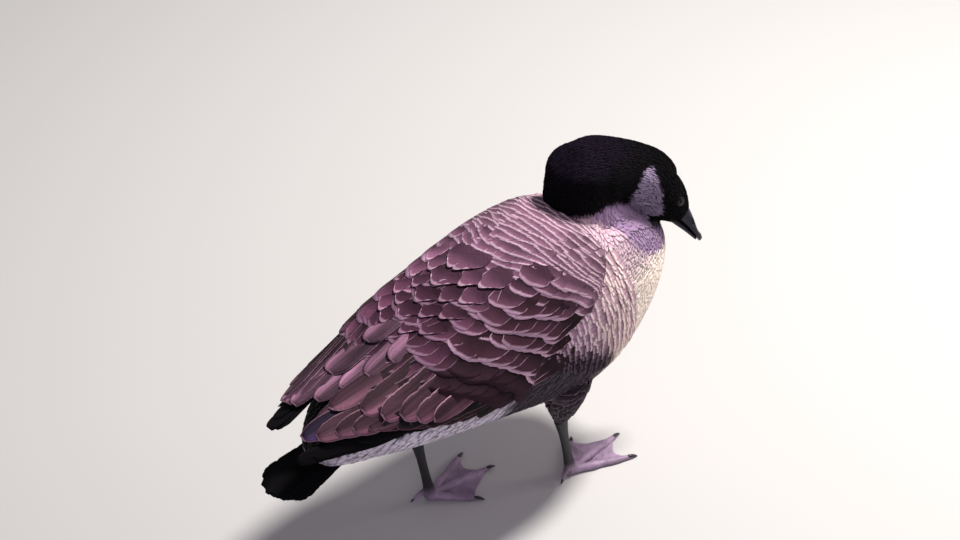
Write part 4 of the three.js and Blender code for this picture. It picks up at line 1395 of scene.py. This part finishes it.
SHANK = [(0, 8.6), (0.12, 7.4), (0.3, 5.8), (0.55, 5.2), (0.8, 5.6), (0.93, 6.8), (1.02, 7.4), (1.1, 5.5)]
WEB_THICKNESS = 1.3
SOLE = 0.15


def toe_way(leg, spread):
    return np.array([math.cos(spread), -leg["side"] * math.sin(spread)])


def toe_rows(leg, spread, length, radius):
    """A toe's rows. Knuckles are (share of the length, height, width as a share of the radius, depth)."""
    along = toe_way(leg, spread)
    heel = (*(along * (-0.05 * length)), 8, radius + 1.5, 6.5)
    rows = [(*(along * (share * length)), high, radius * wide, deep) for share, high, wide, deep in KNUCKLES]
    return [heel, *rows]


def on_leg(leg, rings):
    """A closed form standing where the leg's foot is, from rings round the foot's own middle."""
    points, faces = loft(rings)
    return points @ rotation(leg["turn"]).T + (*leg["foot"][:2], 0), faces


def hind_form(leg, rows, count, sides):
    """The hind toe or its claw, from rows (x, y to the leg's outer side, z, radius)."""
    return on_leg(leg, tube_rings([(x, leg["side"] * y, z, r, r) for x, y, z, r in rows], count, sides))


def web_sheet(leg, first, second):
    """A thin web between two toes, sagging to the floor between them, with a curved free edge."""
    share = np.linspace(0, 1, 18)
    reach = np.linspace(0.04, 0.95, 26)
    top = []
    for s in share:
        spread = first[0] + (second[0] - first[0]) * s
        length = first[1] + (second[1] - first[1]) * s
        bow = 1 - 0.16 * math.sin(math.pi * s)
        far = length * reach * bow
        sag = 3.2 - 1.7 * math.sin(math.pi * s) * np.minimum(reach * 2.2, 1)
        ripple = 0.35 * np.sin(far * 0.55 + 9 * s) * math.sin(math.pi * s)
        top.append(np.stack([np.cos(spread) * far, -leg["side"] * np.sin(spread) * far, sag + ripple], -1))
    top = np.array(top)
    base = top.copy()
    base[..., 2] = np.maximum(base[..., 2] - WEB_THICKNESS, 0.25)
    return on_leg(leg, np.concatenate([top, base[:, ::-1]], 1))


def claw_form(leg, spread, length):
    along = toe_way(leg, spread)
    rings = tube_rings([(*(along * (length + far)), *rest) for far, *rest in CLAW], 14, 16)
    rings[..., 2] = np.maximum(rings[..., 2], 0.3)
    return on_leg(leg, rings)


def leg_material(name, shank, web_painted_light):
    """Scaly skin: flat polygons with fine creases between them, which painted shade darkens."""
    n = Nodes(name)
    place = n.place()
    cell = n.add("ShaderNodeTexVoronoi", {"Vector": place, "Scale": 620.0}, feature="DISTANCE_TO_EDGE")
    crease = n.span(cell.outputs["Distance"], 0.0, 0.12)
    cloud = n.noise(place, 45, 3)
    # Below the shank, the toes and webs take a light mauve: painted light and reflection on skin that is
    # black
    tone = n.mix(n.span(n.parts(place)["Z"], 0.009, 0.024), (*web_painted_light, 1), (*shank, 1))
    tone = n.tinted(tone, n.span(cloud, 0.3, 0.7, 0.7, 1.3))
    tone = n.tinted(tone, n.math("ADD", 0.62, n.times(crease, 0.38)))
    n.bump(crease, 0.5, 0.0004)
    return n.finish(tone, n.span(crease, 0, 1, 0.7, 0.46))


leg_skin = leg_material("leg_skin", linear(20, 17, 24), linear(150, 126, 152))
claw_material = horn_material("claw_horn", linear(40, 34, 44), 0.35)
for name, leg in LEGS.items():
    parts = [on_leg(leg, tube_rings(toe_rows(leg, *toe), 40, 20)) for toe in TOES]
    parts += [web_sheet(leg, *toes) for toes in zip(TOES, TOES[1:])]
    parts.append(hind_form(leg, HIND_TOE, 16, 16))
    hock, foot = np.array(leg["hock"], float), np.array(leg["foot"], float)
    shank = [(*(hock + (foot - hock) * s), r * 0.86, r * 1.08) for s, r in SHANK]
    parts.append(loft(tube_rings(shank, 40, 24)))
    for points, _ in parts:
        points[:, 2] = np.maximum(points[:, 2], SOLE)
    made = smooth_form("leg_" + name, parts, leg_skin, "leg_skin", "shank_" + name, LEG_VOXEL, 2)
    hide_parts("foot_" + name)
    claws = [claw_form(leg, spread, length) for spread, length, _ in TOES]
    claws.append(hind_form(leg, HIND_CLAW, 8, 10))
    piece(new_object("claws_" + name, *gather(claws)), claw_material, "leg_skin")

# Eyes: a dark ball behind a rim of small lids

eye_material = Nodes("eye").finish((*linear(12, 7, 6), 1), 0.06, Specular_IOR_Level=0.28)
lid_material = horn_material("lid", linear(7, 5, 7), 0.85, 200)
LID_SIZE = 5.0
LID_STANDS = 2.7
LID_POINTS = (60, 14)


def lid_ring(side):
    """Two soft lids round the eye, meeting in a point at its front and its back."""
    around, across = (np.linspace(0, 2 * math.pi, count, endpoint=False) for count in LID_POINTS)
    outward = unit(np.array([0.08, side * 1.0, 0.22]))
    ahead = unit(np.array([1.0, 0, -0.1]) - outward * (0.08 - 0.022))
    above = np.cross(outward, ahead) * side * -1
    above *= np.sign(above[2])
    wide, tall = LID_SIZE + 0.7 * np.abs(np.cos(around)) ** 5, LID_SIZE - 0.5
    middle = np.array([EYE[0], side * EYE[1], EYE[2]]) + outward * LID_STANDS
    thick = 1.05 + 0.3 * np.sin(around) - 0.35 * np.abs(np.cos(around)) ** 4
    cosine, sine = np.cos(around)[:, None], np.sin(around)[:, None]
    spine = middle + wide[:, None] * cosine * ahead + tall * sine * above
    away = unit(spine - middle)
    crease = 1 + 0.1 * np.sin(around * 23)[:, None]
    ring = (thick[:, None] * crease * np.cos(across))[..., None] * away[:, None]
    ring = ring + (thick[:, None] * 0.9 * np.sin(across))[..., None] * outward
    points = from_head((spine[:, None] + ring).reshape(-1, 3))
    grid = np.arange(len(points)).reshape(LID_POINTS)
    ahead_of, beside = np.roll(grid, -1, 0), np.roll(grid, -1, 1)
    corners = np.stack([grid, beside, np.roll(beside, -1, 0), ahead_of], -1).reshape(-1, 4)
    faces = [tuple(face)[::side] for face in corners.tolist()]
    return points, faces


for name, side in SIDES:
    piece(new_object("lids_" + name, *lid_ring(side)), lid_material, "plumage_black")
    bpy.ops.mesh.primitive_uv_sphere_add(segments=48, ring_count=32, radius=EYE_RADIUS)
    ball = bpy.context.object
    ball.name = "eyeball_" + name
    points = read(ball.data.vertices, "co", 3).astype(float)
    move_to(ball.data, from_head(points + (EYE[0], side * EYE[1], EYE[2])))
    piece(ball, eye_material, "eye", "eye_" + name)
